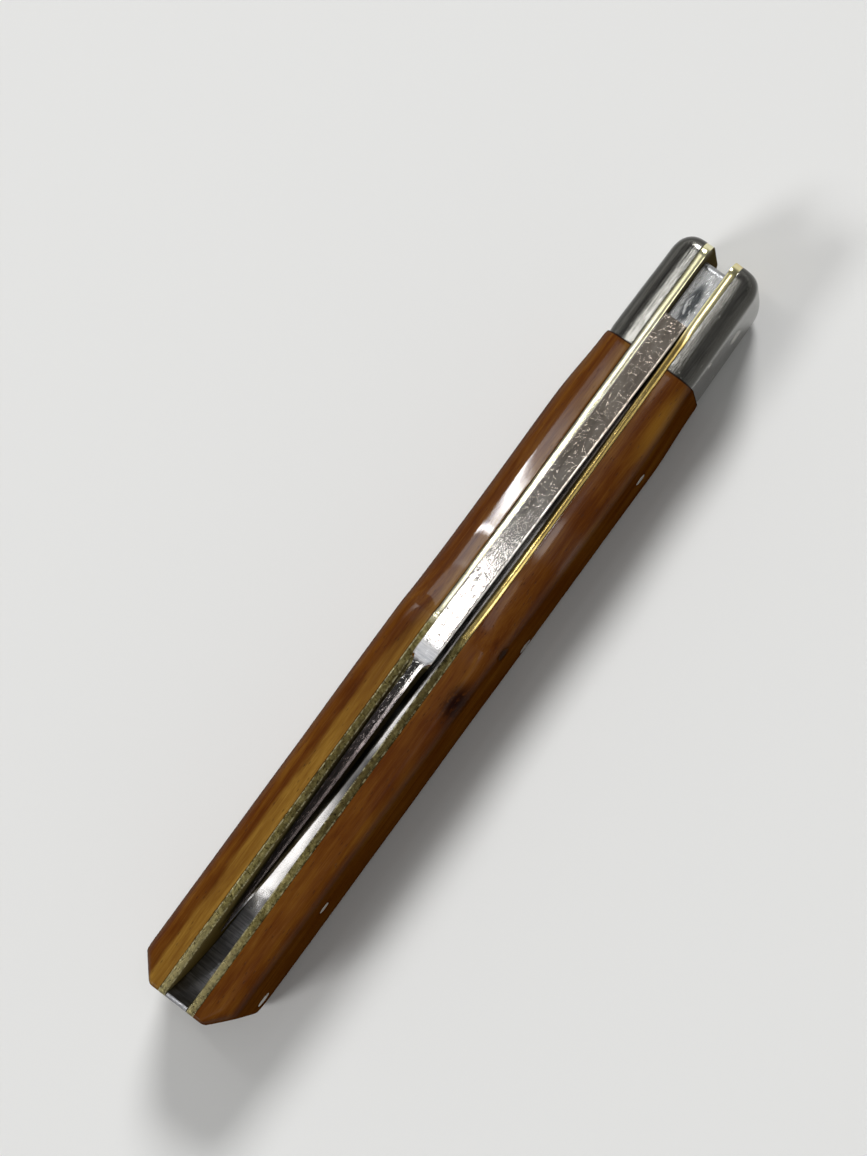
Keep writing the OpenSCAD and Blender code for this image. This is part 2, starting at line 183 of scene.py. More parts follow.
SWEDGE_Z = SHOULDER_Z + SPINE_RISE
SWEDGE_LEAN = LINER_IN - SWEDGE_GAP - SWEDGE_START_T / 2
BELLY_X = TIP_X + BELLY_LEN
CHOIL_X = PIVOT_X - TANG_HALF - CHOIL_GAP
CHOIL_Z = TANG_LOW + CHOIL_LIFT
GRIND_X = CHOIL_X - RICASSO_LEN

# Back spring
BAR_H = 3.9
BAR_HOLLOW_R = 400.0
BAR_END_H = 3.2
SPRING_NOSE_H = 2.3
RAMP_R = 13.0
END_WALL = 0.56
HOLLOW_X = PIVOT_X - 38.5
HOLLOW_Z = BAR_H + BAR_HOLLOW_R
WALL_X = BUTT_X + END_WALL
WALL_SPAN = sqrt((HOLLOW_X - WALL_X) ** 2 + (HOLLOW_Z - BUTT_EDGE_Z) ** 2)
WALL_DIR = ((HOLLOW_X - WALL_X) / WALL_SPAN, (HOLLOW_Z - BUTT_EDGE_Z) / WALL_SPAN)
ALONG = (RAMP_R ** 2 - (BAR_HOLLOW_R - RAMP_R) ** 2 + WALL_SPAN ** 2) / (2 * WALL_SPAN)
ASIDE = sqrt(RAMP_R ** 2 - ALONG ** 2)
RAMP_X = WALL_X + ALONG * WALL_DIR[0] + ASIDE * WALL_DIR[1]
RAMP_Z = BUTT_EDGE_Z + ALONG * WALL_DIR[1] - ASIDE * WALL_DIR[0]
MEET_X = HOLLOW_X + (RAMP_X - HOLLOW_X) * BAR_HOLLOW_R / (BAR_HOLLOW_R - RAMP_R)
TAPER_X = HOLLOW_X + 2.0
SWEEP_R = (TANG_HALF - TANG_CORNER_R) * sqrt(2) + TANG_CORNER_R + 0.3
NOSE_START_X = PIVOT_X - sqrt(SWEEP_R ** 2 - TANG_HALF ** 2) - 0.3
BAR_END_X = NOSE_START_X - 2.2
# The ground top of the bar leans a little to the right and is faintly hollow across
BAR_TILT = 0.135
BAR_CROSS_R = 22.0
BAR_GRIND_RUN = 3.0
SPRING_EDGE = 0.05
GRIND_MARK, GRIND_SEED = 0.012, 61.0

# Places of wear as the photograph shows them, in millimetres
CHIP_X, CHIP_HALF, CHIP_DEEP = 1.0, 0.95, 0.45
CHIP_FROM, CHIP_TO = CHIP_X - 1.5 * CHIP_HALF, CHIP_X + 1.5 * CHIP_HALF
CHIP_TALL = 2.2
BURN_X, BURN_Y, BURN_Z = -5.9, -4.9, 13.0
PIT_DEEP = 0.12


def edge_line(x):
    if x <= KINK_X:
        return mix(BUTT_EDGE_Z, KINK_Z, (x - BUTT_X) / (KINK_X - BUTT_X))
    if x <= DIP_X:
        return KINK_Z - DIP + DIP * ((DIP_X - x) / DIP_RUN) ** 2
    return mix(KINK_Z - DIP, HEAD_EDGE_Z, ease((x - DIP_X) / (PIVOT_X - DIP_X)))


def corner_in(r, d):
    return 0.0 if d >= r else r - sqrt(max(r * r - (r - d) ** 2, 0.0))


def top_z(x):
    return edge_line(x) - corner_in(BUTT_EDGE_R, x - BUTT_X) - corner_in(HEAD_EDGE_R, HEAD_X - x)


def back_z(x):
    return corner_in(BUTT_BACK_R, x - BUTT_X) + corner_in(HEAD_BACK_R, HEAD_X - x)


# Stations along the handle: close together at both round ends, and at the kink and chip
BUTT_XS = [BUTT_X + BUTT_BACK_R * (k / 30) ** 2 for k in range(31)]
HEAD_XS = [HEAD_X - HEAD_BACK_R * (1 - k / 40) ** 2 for k in range(1, 41)]
MID_XS = spread(BUTT_XS[-1], CHIP_FROM, 90)[1:]
CHIP_XS = spread(CHIP_FROM, CHIP_TO, 36)[1:]
RISE_XS = spread(CHIP_TO, JOINT_X, 70)[1:]
COVER_XS = BUTT_XS + MID_XS + CHIP_XS + RISE_XS
NOSE_XS = spread(JOINT_X, ROUND_X, 14) + HEAD_XS


def make_object(name, points, faces, material, sharp=32.0):
    """Mesh object from points in millimetres, with outward faces and its sharp edges marked."""
    mesh = bpy.data.meshes.new(name)
    mesh.from_pydata([[v * MM for v in p] for p in points], [], faces)
    bm = bmesh.new()
    bm.from_mesh(mesh)
    bmesh.ops.recalc_face_normals(bm, faces=bm.faces)
    bm.to_mesh(mesh)
    bm.free()
    mesh.shade_smooth()
    mesh.set_sharp_from_angle(angle=radians(sharp))
    mesh.materials.append(material)
    obj = bpy.data.objects.new(name, mesh)
    bpy.context.scene.collection.objects.link(obj)
    return obj


def loft(name, sections, material, sharp=32.0):
    """Closed skin through cross-sections that have equally many points."""
    n = len(sections[0])
    points = [p for s in sections for p in s]
    faces = []
    for i in range(len(sections) - 1):
        for j in range(n):
            a, b = i * n + j, i * n + (j + 1) % n
            faces.append((a, b, b + n, a + n))
    faces.append(tuple(range(n)))
    faces.append(tuple((len(sections) - 1) * n + j for j in range(n)))
    return make_object(name, points, faces, material, sharp)


def dress(obj, body, slot, *nodes):
    """Rides a piece on its body, in the place of the nodes that it stands for."""
    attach(obj, body)
    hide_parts(*nodes)


# Shader building


class Nodes:
    """Node tree with short calls for the nodes that the materials and the surround share."""

    def __init__(self, tree):
        self.tree = tree

    def add(self, kind):
        return self.tree.nodes.new(f"ShaderNode{kind}")

    def link(self, source, socket):
        if isinstance(source, bpy.types.NodeSocket):
            self.tree.links.new(source, socket)
        else:
            socket.default_value = source

    def split(self, vector):
        node = self.add("SeparateXYZ")
        self.link(vector, node.inputs[0])
        return node.outputs

    def vector(self, operation, a, b=None, scale=None):
        node = self.add("VectorMath")
        node.operation = operation
        self.link(a, node.inputs[0])
        if b is not None:
            self.link(b, node.inputs[1])
        if scale is not None:
            node.inputs["Scale"].default_value = scale
        return node.outputs["Value" if operation == "LENGTH" else "Vector"]

    def math(self, operation, a, b=0.0):
        node = self.add("Math")
        node.operation = operation
        self.link(a, node.inputs[0])
        self.link(b, node.inputs[1])
        return node.outputs[0]

    def plus(self, value, *others):
        for other in others:
            value = self.math("ADD", value, other)
        return value

    def minus(self, a, b):
        return self.math("SUBTRACT", a, b)

    def times(self, value, *others):
        for other in others:
            value = self.math("MULTIPLY", value, other)
        return value

    def size(self, value):
        return self.math("ABSOLUTE", value)

    def mean(self, a, b, share):
        """Mean of two values, of which the first counts for share."""
        return self.plus(self.times(a, share), self.times(b, 1 - share))

    def fit(self, value, low, high, to_low=0.0, to_high=1.0, smooth=True):
        """Takes value from the range low to high onto to_low to to_high, and holds it there outside."""
        node = self.add("MapRange")
        node.interpolation_type = "SMOOTHSTEP" if smooth else "LINEAR"
        self.link(value, node.inputs["Value"])
        for socket, v in (("From Min", low), ("From Max", high), ("To Min", to_low), ("To Max", to_high)):
            node.inputs[socket].default_value = v
        return node.outputs["Result"]

    def between(self, value, start, full, full_end, end):
        """1 from full to full_end, falling to 0 at start and at end."""
        return self.times(self.fit(value, start, full), self.fit(value, end, full_end))

    def ramp(self, value, stops):
        node = self.add("ValToRGB")
        self.link(value, node.inputs["Fac"])
        elements = node.color_ramp.elements
        while len(elements) < len(stops):
            elements.new(1.0)
        for element, (position, color) in zip(elements, stops):
            element.position = position
            element.color = (*color, 1.0)
        return node.outputs["Color"]

    def blend(self, share, a, b, kind="MIX"):
        node = self.add("Mix")
        node.data_type = "RGBA"
        node.blend_type = kind
        self.link(share, node.inputs[0])
        for value, socket in ((a, node.inputs[6]), (b, node.inputs[7])):
            self.link((*value, 1.0) if isinstance(value, tuple) else value, socket)
        return node.outputs[2]

    def paint(self, color, mask, over, share):
        """Colour with another laid over it where the mask is 1, as strongly as share says."""
        return self.blend(self.times(mask, share), color, over)

    def bump(self, height, depth_mm, below=None):
        node = self.add("Bump")
        node.inputs["Strength"].default_value = 1.0
        node.inputs["Distance"].default_value = depth_mm * MM
        self.link(height, node.inputs["Height"])
        if below is not None:
            self.link(below, node.inputs["Normal"])
        return node.outputs["Normal"]

    def pit(self, mask, depth_mm, below):
        return self.bump(self.times(mask, -1.0), depth_mm, below)


class Shader(Nodes):
    """Node tree of one material, whose places are in millimetres in the shared frame."""

    def __init__(self, name, color, metallic=0.0, roughness=0.5):
        self.material = bpy.data.materials.new(name)
        self.material.use_nodes = True
        super().__init__(self.material.node_tree)
        self.bsdf = self.tree.nodes["Principled BSDF"]
        self.bsdf.inputs["Base Color"].default_value = (*color, 1.0)
        self.bsdf.inputs["Metallic"].default_value = metallic
        self.bsdf.inputs["Roughness"].default_value = roughness
        self.material.diffuse_color = (*color, 1.0)
        coords = self.add("TexCoord")
        self.place = self.vector("SCALE", coords.outputs["Object"], scale=1 / MM)
        self.x, self.y, self.z = self.split(self.place)
        self.up = self.split(coords.outputs["Normal"])[2]

    def noise(self, stretch, detail=4.0, roughness=0.55, distortion=0.0, turned=0.0):
        """Noise whose lumps are about 1/stretch millimetres along each axis."""
        vector = self.place
        if turned:
            turn = self.add("VectorRotate")
            turn.rotation_type = "Z_AXIS"
            turn.inputs["Angle"].default_value = turned
            self.link(vector, turn.inputs["Vector"])
            vector = turn.outputs["Vector"]
        node = self.add("TexNoise")
        self.link(self.vector("MULTIPLY", vector, stretch), node.inputs["Vector"])
        inputs = {"Scale": 1.0, "Detail": detail, "Roughness": roughness, "Distortion": distortion}
        for socket, v in inputs.items():
            node.inputs[socket].default_value = v
        return node.outputs["Fac"]

    def specks(self, stretch, size):
        """1 inside small scattered spots, 0 between them."""
        node = self.add("TexVoronoi")
        self.link(self.vector("MULTIPLY", self.place, stretch), node.inputs["Vector"])
        node.inputs["Scale"].default_value = 1.0
        return self.fit(node.outputs["Distance"], size, size * 0.4)

    def near(self, centre, stretch, low, high):
        """1 close to a point, 0 far from it, with the distances along each axis weighed by stretch."""
        offset = self.vector("SUBTRACT", self.place, centre)
        distance = self.vector("LENGTH", self.vector("MULTIPLY", offset, stretch))
        return self.fit(distance, high, low)

    def use(self, **sockets):
        """Sets or links the shader's sockets, and gives the finished material."""
        for name, source in sockets.items():
            self.link(source, self.bsdf.inputs[name.replace("_", " ").title()])
        return self.material


# Materials: colours are linear, and places and widths are in millimetres

RIGHT_TO_LEFT = (-0.5, 0.5)
SEAM_SHARE = 0.85

BONE_TONES = [
    (0.34, (0.048, 0.0105, 0.0012)),
    (0.45, (0.082, 0.022, 0.0022)),
    (0.54, (0.112, 0.037, 0.004)),
    (0.66, (0.165, 0.068, 0.0085)),
]
HONEY_TONES = [(0.36, (0.15, 0.062, 0.0085)), (0.5, (0.215, 0.105, 0.015)), (0.64, (0.30, 0.165, 0.028))]
BONE_SIDE_SHADE = (0.040, 0.012, 0.0012)
BONE_PORE = (0.018, 0.005, 0.001)
BONE_BURN = (0.010, 0.0022, 0.0012)
BONE_SEAM = (0.010, 0.004, 0.002)
PIN_RING = (0.02, 0.006, 0.002)
HONEY_W_BUTT, HONEY_W_HEAD = 1.65, 0.9
HONEY_WAVE = 0.9
POLISH_START_X, POLISH_FULL_X = -1.5, 0.5
COVER_PIN_NODES = ("spring_centre_pin", "spring_butt_pin", "cover_pin_left_front", "cover_pin_left_rear")

# Marks on the right cover: place, weights of the distances, full within, gone beyond, strength, colour
# Lighter, warmer patch at the right cover's head end: painted highlight
WARM_END_HIGHLIGHT = ((29.5, -5.0, 12.5), (0.2, 0.9, 0.6), 0.2, 1.2, 0.75, (0.215, 0.098, 0.011))
DARK_SPOT = ((20.0, -5.1, 12.6), (1.6, 3.0, 1.0), 0.1, 0.8, 0.6, (0.03, 0.007, 0.002))
DUSKY_STRETCH = ((-10.0, -4.6, 13.0), (0.07, 0.5, 0.5), 0.3, 1.1, 0.35, (0.052, 0.014, 0.004))
CHIP_SHADE = ((CHIP_X, -COVER_HIGH[1], 12.2), (0.85, 1.5, 0.6), 0.5, 0.95, 0.95, (0.012, 0.0045, 0.0018))


def honey_band(s, color, grain, cloud):
    """Left cover's honey-coloured band beside its liner, widest and strongest towards the butt."""
    width = s.fit(s.x, -8.0, 6.0, HONEY_W_BUTT, HONEY_W_HEAD)
    wave = s.times(s.minus(cloud, 0.5), HONEY_WAVE)
    inside = s.minus(s.plus(width, wave, LINER_OUT), s.size(s.y))
    share = s.times(s.fit(inside, -0.3, 0.4), s.fit(s.x, 8.0, -22.0, 0.35, 1.0))
    return s.blend(share, color, s.ramp(grain, HONEY_TONES))


def marked(s, color, *marks):
    for centre, stretch, full, end, strength, over in marks:
        color = s.paint(color, s.near(centre, stretch, full, end), over, strength)
    return color


def right_marks(s, color):
    """Right cover's painted highlight at the head end, dark spot, dusky stretch, burn and shaded chip."""
    color = marked(s, color, WARM_END_HIGHLIGHT, DARK_SPOT, DUSKY_STRETCH)
    ragged = s.fit(s.noise((1.2, 2.0, 2.0), detail=5.0), 0.34, 0.52, 0.35, 1.0)
    burn = s.near((BURN_X, BURN_Y, BURN_Z), (0.36, 0.75, 0.6), 0.35, 1.25)
    color = s.paint(color, burn, BONE_BURN, ragged)
    return marked(s, color, CHIP_SHADE)


def polish(s, side, scratches):
    """Share of the clear gloss that hands have worn onto the edges of a cover's head half."""
    worn = s.fit(s.x, POLISH_START_X, POLISH_FULL_X)
    if side == "left":
        edge = s.times(worn, s.fit(s.x, 21.0, 27.0, 1.0, 0.35), s.fit(s.up, 0.85, 0.965))
        return s.math("MAXIMUM", edge, s.fit(s.up, 0.3, 0.05, 0.0, 0.22))
    ruffled_x = s.plus(s.x, s.times(s.minus(scratches, 0.5), 3.0))
    streaks = s.times(s.fit(ruffled_x, 10.4, 12.0, 0.1, 1.0), s.fit(ruffled_x, 14.4, 16.4, 1.0, 0.15))
    return s.times(worn, streaks, s.fit(s.up, 0.4, 0.95))


def bone(side):
    """Polished amber bone: lengthwise grain, honey-coloured beside the left liner, with dark pores and painted
    shade on its sides.
    """
    s = Shader(f"bone_{side}", (0.10, 0.032, 0.005), roughness=0.24)
    streaks = s.noise((0.07, 1.1, 1.1), detail=6.0, roughness=0.62, distortion=0.4)
    fine = s.noise((0.45, 7.0, 7.0), roughness=0.65)
    cloud = s.noise((0.14, 0.45, 0.45), detail=3.0)
    scratches = s.noise((0.3, 9.0, 9.0), detail=3.0, roughness=0.7)
    lumps = s.noise((0.3, 0.5, 0.5), detail=1.0)
    pores = s.specks((0.6, 3.4, 3.4), 0.17)
    grain = s.mean(streaks, fine, 0.68)
    color = s.ramp(s.mean(grain, cloud, 0.62), BONE_TONES)
    color = honey_band(s, color, grain, cloud) if side == "left" else right_marks(s, color)
    # Faces that turn away from the top are darkened: painted shade
    color = s.blend(s.fit(s.up, 0.92, 0.4, 0.0, 0.5), color, BONE_SIDE_SHADE)
    color = s.paint(color, pores, BONE_PORE, 0.5)
    for node in COVER_PIN_NODES:
        x, z, radius = pin_axis(node)
        ring = s.near((x, 0.0, z), (1.0, 0.0, 1.0), radius + 0.02, radius + 0.25)
        color = s.paint(color, ring, PIN_RING, 0.75)
    color = s.paint(color, s.fit(s.x, JOINT_X - 0.16, JOINT_X - 0.07), BONE_SEAM, SEAM_SHARE)
    s.link(s.fit(s.up, 0.3, 0.85, 0.0, 0.1), s.bsdf.inputs["Specular IOR Level"])
    return s.use(
        base_color=color,
        roughness=s.fit(scratches, 0.3, 0.7, 0.16, 0.3),
        normal=s.pit(pores, 0.03, s.bump(fine, 0.0025, s.bump(lumps, 0.012))),
        coat_weight=polish(s, side, scratches),
        coat_roughness=0.02,
        coat_normal=s.bump(fine, 0.0012),
    )


DULL_SHADED_BRASS = [
    (0.36, (0.035, 0.028, 0.009)),
    (0.47, (0.105, 0.086, 0.030)),
    (0.56, (0.21, 0.18, 0.07)),
    (0.66, (0.42, 0.37, 0.17)),
]
BRIGHT_BRASS = [(0.3, (0.56, 0.41, 0.135)), (0.5, (0.72, 0.54, 0.19)), (0.72, (0.88, 0.70, 0.29))]
LEFT_HIGHLIGHT_BRASS = [(0.34, (0.55, 0.50, 0.26)), (0.46, (0.88, 0.84, 0.58)), (0.6, (0.95, 0.93, 0.78))]
DARK_STRETCH = (0.035, 0.024, 0.008)
WORN_RIM_AND_GLINT = (0.62, 0.57, 0.34)
BLADE_SHADOW_BRASS = (0.16, 0.11, 0.035)
WORN_BUTT_END = (0.36, 0.31, 0.16)
BRASS_STAIN = (0.07, 0.055, 0.02)
HEAD_END_HIGHLIGHT = (0.88, 0.83, 0.50)
BRIGHT_WALL, DULL_WALL = (0.10, 0.075, 0.03), (0.22, 0.17, 0.065)


def dull_shaded_brass(s, grit):
    """Brass of the butt half: grey-green and darkened by painted dark reflection, darker in the middle, with
    crumbs of bright metal and painted highlight on its rims.
    """
    # Dark ramp of the butt half: partly its rough filed metal, partly painted dark reflection
    color = s.ramp(grit, DULL_SHADED_BRASS)
    stretch = s.between(s.x, -30.0, -23.0, -6.0, 0.0)
    color = s.paint(color, stretch, DARK_STRETCH, s.fit(s.y, *RIGHT_TO_LEFT, 0.7, 0.5))
    crumbs = s.fit(s.noise((2.6, 2.0, 2.0), detail=5.0, roughness=0.7), 0.46, 0.56)
    off_middle = s.size(s.minus(s.size(s.y), (LINER_IN + LINER_OUT) / 2))
    # Lighter crumbs on the broken rims: worn metal and painted highlight
    return s.paint(color, s.fit(off_middle, 0.24, 0.40), WORN_RIM_AND_GLINT, s.times(crumbs, 0.75))


def bright_brass(s, patches, grit):
    """Brass of the head half: yellow on the right, with the blade's painted shadow, and almost white on the
    left, with a painted highlight.
    """
    color = s.ramp(patches, BRIGHT_BRASS)
    # Darker stretch beside the blade's head half, kept on the right liner: painted shadow of the blade
    color = s.paint(color, s.between(s.x, 11.5, 13.5, 36.5, 38.5), BLADE_SHADOW_BRASS, 0.75)
    # The left liner is turned almost white: painted highlight
    return s.blend(s.fit(s.y, *RIGHT_TO_LEFT), color, s.ramp(grit, LEFT_HIGHLIGHT_BRASS))


def brass():
    """Liner brass: polished, with a painted highlight and a painted shadow, on the head half; matt, stained,
    file-marked and darkened with painted dark reflection on the butt half.
    """
    s = Shader("liner_brass", (0.72, 0.55, 0.24), metallic=1.0, roughness=0.3)
    patches = s.noise((0.8, 1.8, 1.8), detail=5.0, roughness=0.65)
    marks = s.noise((3.2, 2.2, 2.2), detail=6.0, roughness=0.75, distortion=0.6, turned=radians(24))
    stain = s.specks((1.1, 2.6, 2.6), 0.24)
    grit = s.mean(patches, marks, 0.35)
    butt = s.fit(s.x, 1.6, -1.2)
    head_end_highlight = s.times(s.fit(s.x, 37.0, 39.5), s.fit(s.up, 0.3, 0.7))
    wall = s.times(s.fit(s.up, 0.5, 0.1), s.fit(s.size(s.y), LINER_IN + 0.12, LINER_IN + 0.05))
    color = s.blend(butt, bright_brass(s, patches, grit), dull_shaded_brass(s, grit))
    color = s.paint(color, s.fit(s.x, -36.0, -42.0), WORN_BUTT_END, 0.35)
    color = s.paint(color, stain, BRASS_STAIN, s.times(butt, 0.6))
    # Near-white head ends of the liners: painted highlight
    color = s.paint(color, head_end_highlight, HEAD_END_HIGHLIGHT, 0.8)
    color = s.blend(wall, color, s.blend(butt, BRIGHT_WALL, DULL_WALL))
    deep = s.times(marks, s.plus(s.times(butt, 0.92), 0.08))
    s.link(s.fit(wall, 0.0, 1.0, 0.5, 0.0), s.bsdf.inputs["Specular IOR Level"])
    return s.use(
        base_color=color,
        metallic=s.fit(wall, 0.0, 1.0, 1.0, 0.0),
        roughness=s.blend(butt, (0.16, 0.16, 0.16), s.fit(marks, 0.3, 0.7, 0.24, 0.46)),
        normal=s.bump(deep, 0.06, s.bump(patches, 0.006)),
    )


NICKEL_TONES = [(0.3, (0.46, 0.45, 0.41)), (0.5, (0.55, 0.54, 0.50)), (0.72, (0.64, 0.63, 0.59))]
NICKEL_FLANK_SHADE = (0.15, 0.145, 0.13)
NICKEL_SHADE = (0.045, 0.044, 0.04)
NICKEL_GROOVE = (0.07, 0.067, 0.06)
NICKEL_SEAM = (0.02, 0.018, 0.015)
NICKEL_DENT = (0.25, 0.235, 0.21)


def nickel():
    """Nickel silver of the bolsters, brushed lengthwise, with painted shade where it rounds away from the
    liner.
    """
    s = Shader("bolster_nickel", (0.55, 0.53, 0.48), metallic=1.0, roughness=0.26)
    brush = s.noise((0.3, 9.0, 9.0), detail=5.0, roughness=0.75)
    cloud = s.noise((0.35, 0.8, 0.8), roughness=0.6)
    dents = s.specks((0.8, 1.6, 1.6), 0.14)
    right_flank_shade, left_flank_shade = s.fit(s.up, 0.996, 0.985, 0.0, 0.72), s.fit(s.up, 0.99, 0.95, 0.0, 0.75)
    color = s.ramp(cloud, NICKEL_TONES)
    # Flanks that turn away from the top are darkened: painted shade, as is the rounding below
    color = s.blend(s.blend(s.fit(s.y, *RIGHT_TO_LEFT), right_flank_shade, left_flank_shade), color, NICKEL_FLANK_SHADE)
    color = s.paint(color, s.between(s.up, 0.9, 0.7, 0.35, 0.12), NICKEL_SHADE, 0.85)
    color = s.blend(s.fit(brush, 0.54, 0.42, 0.0, 0.6), color, NICKEL_GROOVE)
    color = s.paint(color, s.fit(s.x, JOINT_X + 0.12, JOINT_X + 0.04), NICKEL_SEAM, SEAM_SHARE)
    color = s.paint(color, dents, NICKEL_DENT, 0.4)
    return s.use(
        base_color=color,
        roughness=s.fit(brush, 0.3, 0.7, 0.13, 0.24),
        normal=s.pit(dents, 0.03, s.bump(brush, 0.014, s.bump(cloud, 0.015))),
    )


SPINE_TONES = [(0.3, (0.43, 0.40, 0.37)), (0.5, (0.55, 0.52, 0.49)), (0.72, (0.66, 0.64, 0.61))]
FLAT_TONES = [(0.38, (0.24, 0.235, 0.235)), (0.5, (0.33, 0.325, 0.325)), (0.62, (0.42, 0.415, 0.41))]
CLIP_SHADE_TONES = [
    (0.0, (0.045, 0.034, 0.033)),
    (0.38, (0.085, 0.066, 0.064)),
    (0.46, (0.17, 0.14, 0.138)),
    (0.95, (0.30, 0.27, 0.27)),
]
SWEDGE_HIGHLIGHT_TONES = [(0.35, (0.50, 0.52, 0.56)), (0.62, (0.95, 0.95, 0.97))]
BROWN_REFLECTION_TINT = (0.80, 0.74, 0.67)
STEEL_PIT = (0.10, 0.085, 0.075)
CLIP_STAIN = (0.06, 0.045, 0.044)
TANG_STEEL = (0.66, 0.68, 0.69)
TANG_CORNER_SHADE = (0.22, 0.225, 0.23)
TANG_STAIN = (0.045, 0.052, 0.058)


def clip_steel(s):
    """Steel of the clip's top, darkened with painted shade and dark reflection, darkest towards the tip where
    it sinks into the well, and stained in places.
    """
    # Darkening along the clip: painted shade and dark reflection
    color = s.ramp(s.fit(s.x, SWEDGE_X - 22.0, SWEDGE_X, smooth=False), CLIP_SHADE_TONES)
    stained = s.fit(s.noise((1.1, 3.0, 1.0), detail=3.0), 0.42, 0.58, 0.0, 0.45)
    return s.blend(stained, color, CLIP_STAIN)


def spine_dents(s, flat):
    """Small dents, slanting nicks and spots of the spine, most of them along its left edge."""
    dents = s.fit(s.noise((2.1, 3.6, 1.0), detail=3.0, roughness=0.6), 0.60, 0.70)
    nicks = s.fit(s.noise((0.9, 9.0, 1.0), detail=2.0, turned=radians(62)), 0.65, 0.73)
    spots = s.specks((1.5, 2.2, 0.6), 0.2)
    reach = s.times(s.fit(flat, 0.0, 1.0, 1.0, 0.15), s.fit(s.y, -0.9, 0.6, 0.6, 1.25))
    return s.times(s.plus(dents, s.times(nicks, 0.6), s.times(spots, 0.8)), reach)


def steel_blade():
    """Blade steel: polished, dented and specked spine with a painted brownish reflection towards the head and
    a painted highlight where it steps down, brushed clip darkened with painted shade, satin tang with a dark
    stain and painted shade on its rounded end.
    """
    s = Shader("blade_steel", (0.58, 0.56, 0.54), metallic=1.0, roughness=0.14)
    brush = s.noise((14.0, 0.6, 0.6), roughness=0.7)
    lengthwise = s.noise((0.35, 12.0, 2.0), roughness=0.7)
    cloud = s.noise((0.35, 1.0, 0.6), roughness=0.6)
    pits = s.specks((1.1, 2.0, 2.0), 0.13)
    flat = s.fit(s.size(s.up), 0.4, 0.2)
    fallen = s.times(s.minus(SWEDGE_X, s.x), (SWEDGE_Z - TIP_Z) / CLIP_LEN)
    below_spine = s.minus(s.minus(SWEDGE_Z, fallen), s.z)
    on_top = s.fit(below_spine, SWEDGE_H + 0.3, SWEDGE_H - 0.1)
    clip = s.times(s.fit(s.x, SWEDGE_X - 1.5, SWEDGE_X - 7.0), on_top)
    # Bright patch where the spine steps down to the clip: painted highlight
    swedge_highlight = s.times(
        s.between(s.x, SWEDGE_X - 1.7, SWEDGE_X - 0.6, SWEDGE_X + 0.1, SWEDGE_X + 1.8),
        s.fit(s.z, SWEDGE_Z - 1.1, SWEDGE_Z - 0.5), s.fit(s.up, 0.72, 0.95),
    )
    tang = s.fit(s.x, SHOULDER_X - 0.1, SHOULDER_X + 0.1)
    tang_corner_shade = s.fit(s.x, BLADE_HIGH[0] - 1.0, BLADE_HIGH[0] - 0.6, 0.0, 0.7)
    stain_shape = s.near((PIVOT_X - 0.1, 0.0, TANG_TOP), (0.34, 1.25, 0.6), 0.55, 1.05)
    stain = s.times(stain_shape, s.fit(s.noise((0.7, 1.9, 1.0), distortion=0.8), 0.38, 0.44))

    # Brownish tint over the spine's head half: painted reflection
    color = s.blend(s.fit(s.x, 9.0, 24.0), s.ramp(cloud, SPINE_TONES), BROWN_REFLECTION_TINT, kind="MULTIPLY")
    color = s.blend(flat, color, s.ramp(s.mean(brush, cloud, 0.75), FLAT_TONES))
    color = s.paint(color, pits, STEEL_PIT, 0.6)
    color = s.paint(color, clip, clip_steel(s), 0.95)
    color = s.paint(color, swedge_highlight, s.ramp(brush, SWEDGE_HIGHLIGHT_TONES), 0.9)
    color = s.paint(color, tang, TANG_STEEL, 0.8)
    # Rounded end of the tang darkened: painted shade
    color = s.blend(tang_corner_shade, color, TANG_CORNER_SHADE)
    color = s.paint(color, s.times(tang, stain), TANG_STAIN, 0.9)

    bumped = s.bump(spine_dents(s, flat), 0.021, s.bump(lengthwise, 0.004, s.bump(cloud, 0.012)))
    bumped = s.pit(pits, 0.03, bumped)
    ground = s.plus(s.times(clip, 0.12), s.times(tang, 0.5), 0.03)
    smooth = s.fit(lengthwise, 0.3, 0.7, 0.04, 0.10)
    roughness = s.plus(smooth, s.times(clip, 0.08), s.times(tang, 0.2), s.times(swedge_highlight, 0.34))
    return s.use(base_color=color, roughness=roughness, normal=s.bump(s.times(brush, ground), 0.03, bumped))


BAR_TONES = [(0.3, (0.48, 0.46, 0.45)), (0.7, (0.68, 0.67, 0.66))]
RAMP_TONES = [(0.34, (0.13, 0.13, 0.135)), (0.5, (0.22, 0.22, 0.23)), (0.66, (0.36, 0.36, 0.37))]
DARK_REFLECTION_BAR = (0.05, 0.049, 0.048)
SHADED_BAR = (0.17, 0.155, 0.145)
DEEP_SHADOW_BAR = (0.02, 0.014, 0.01)


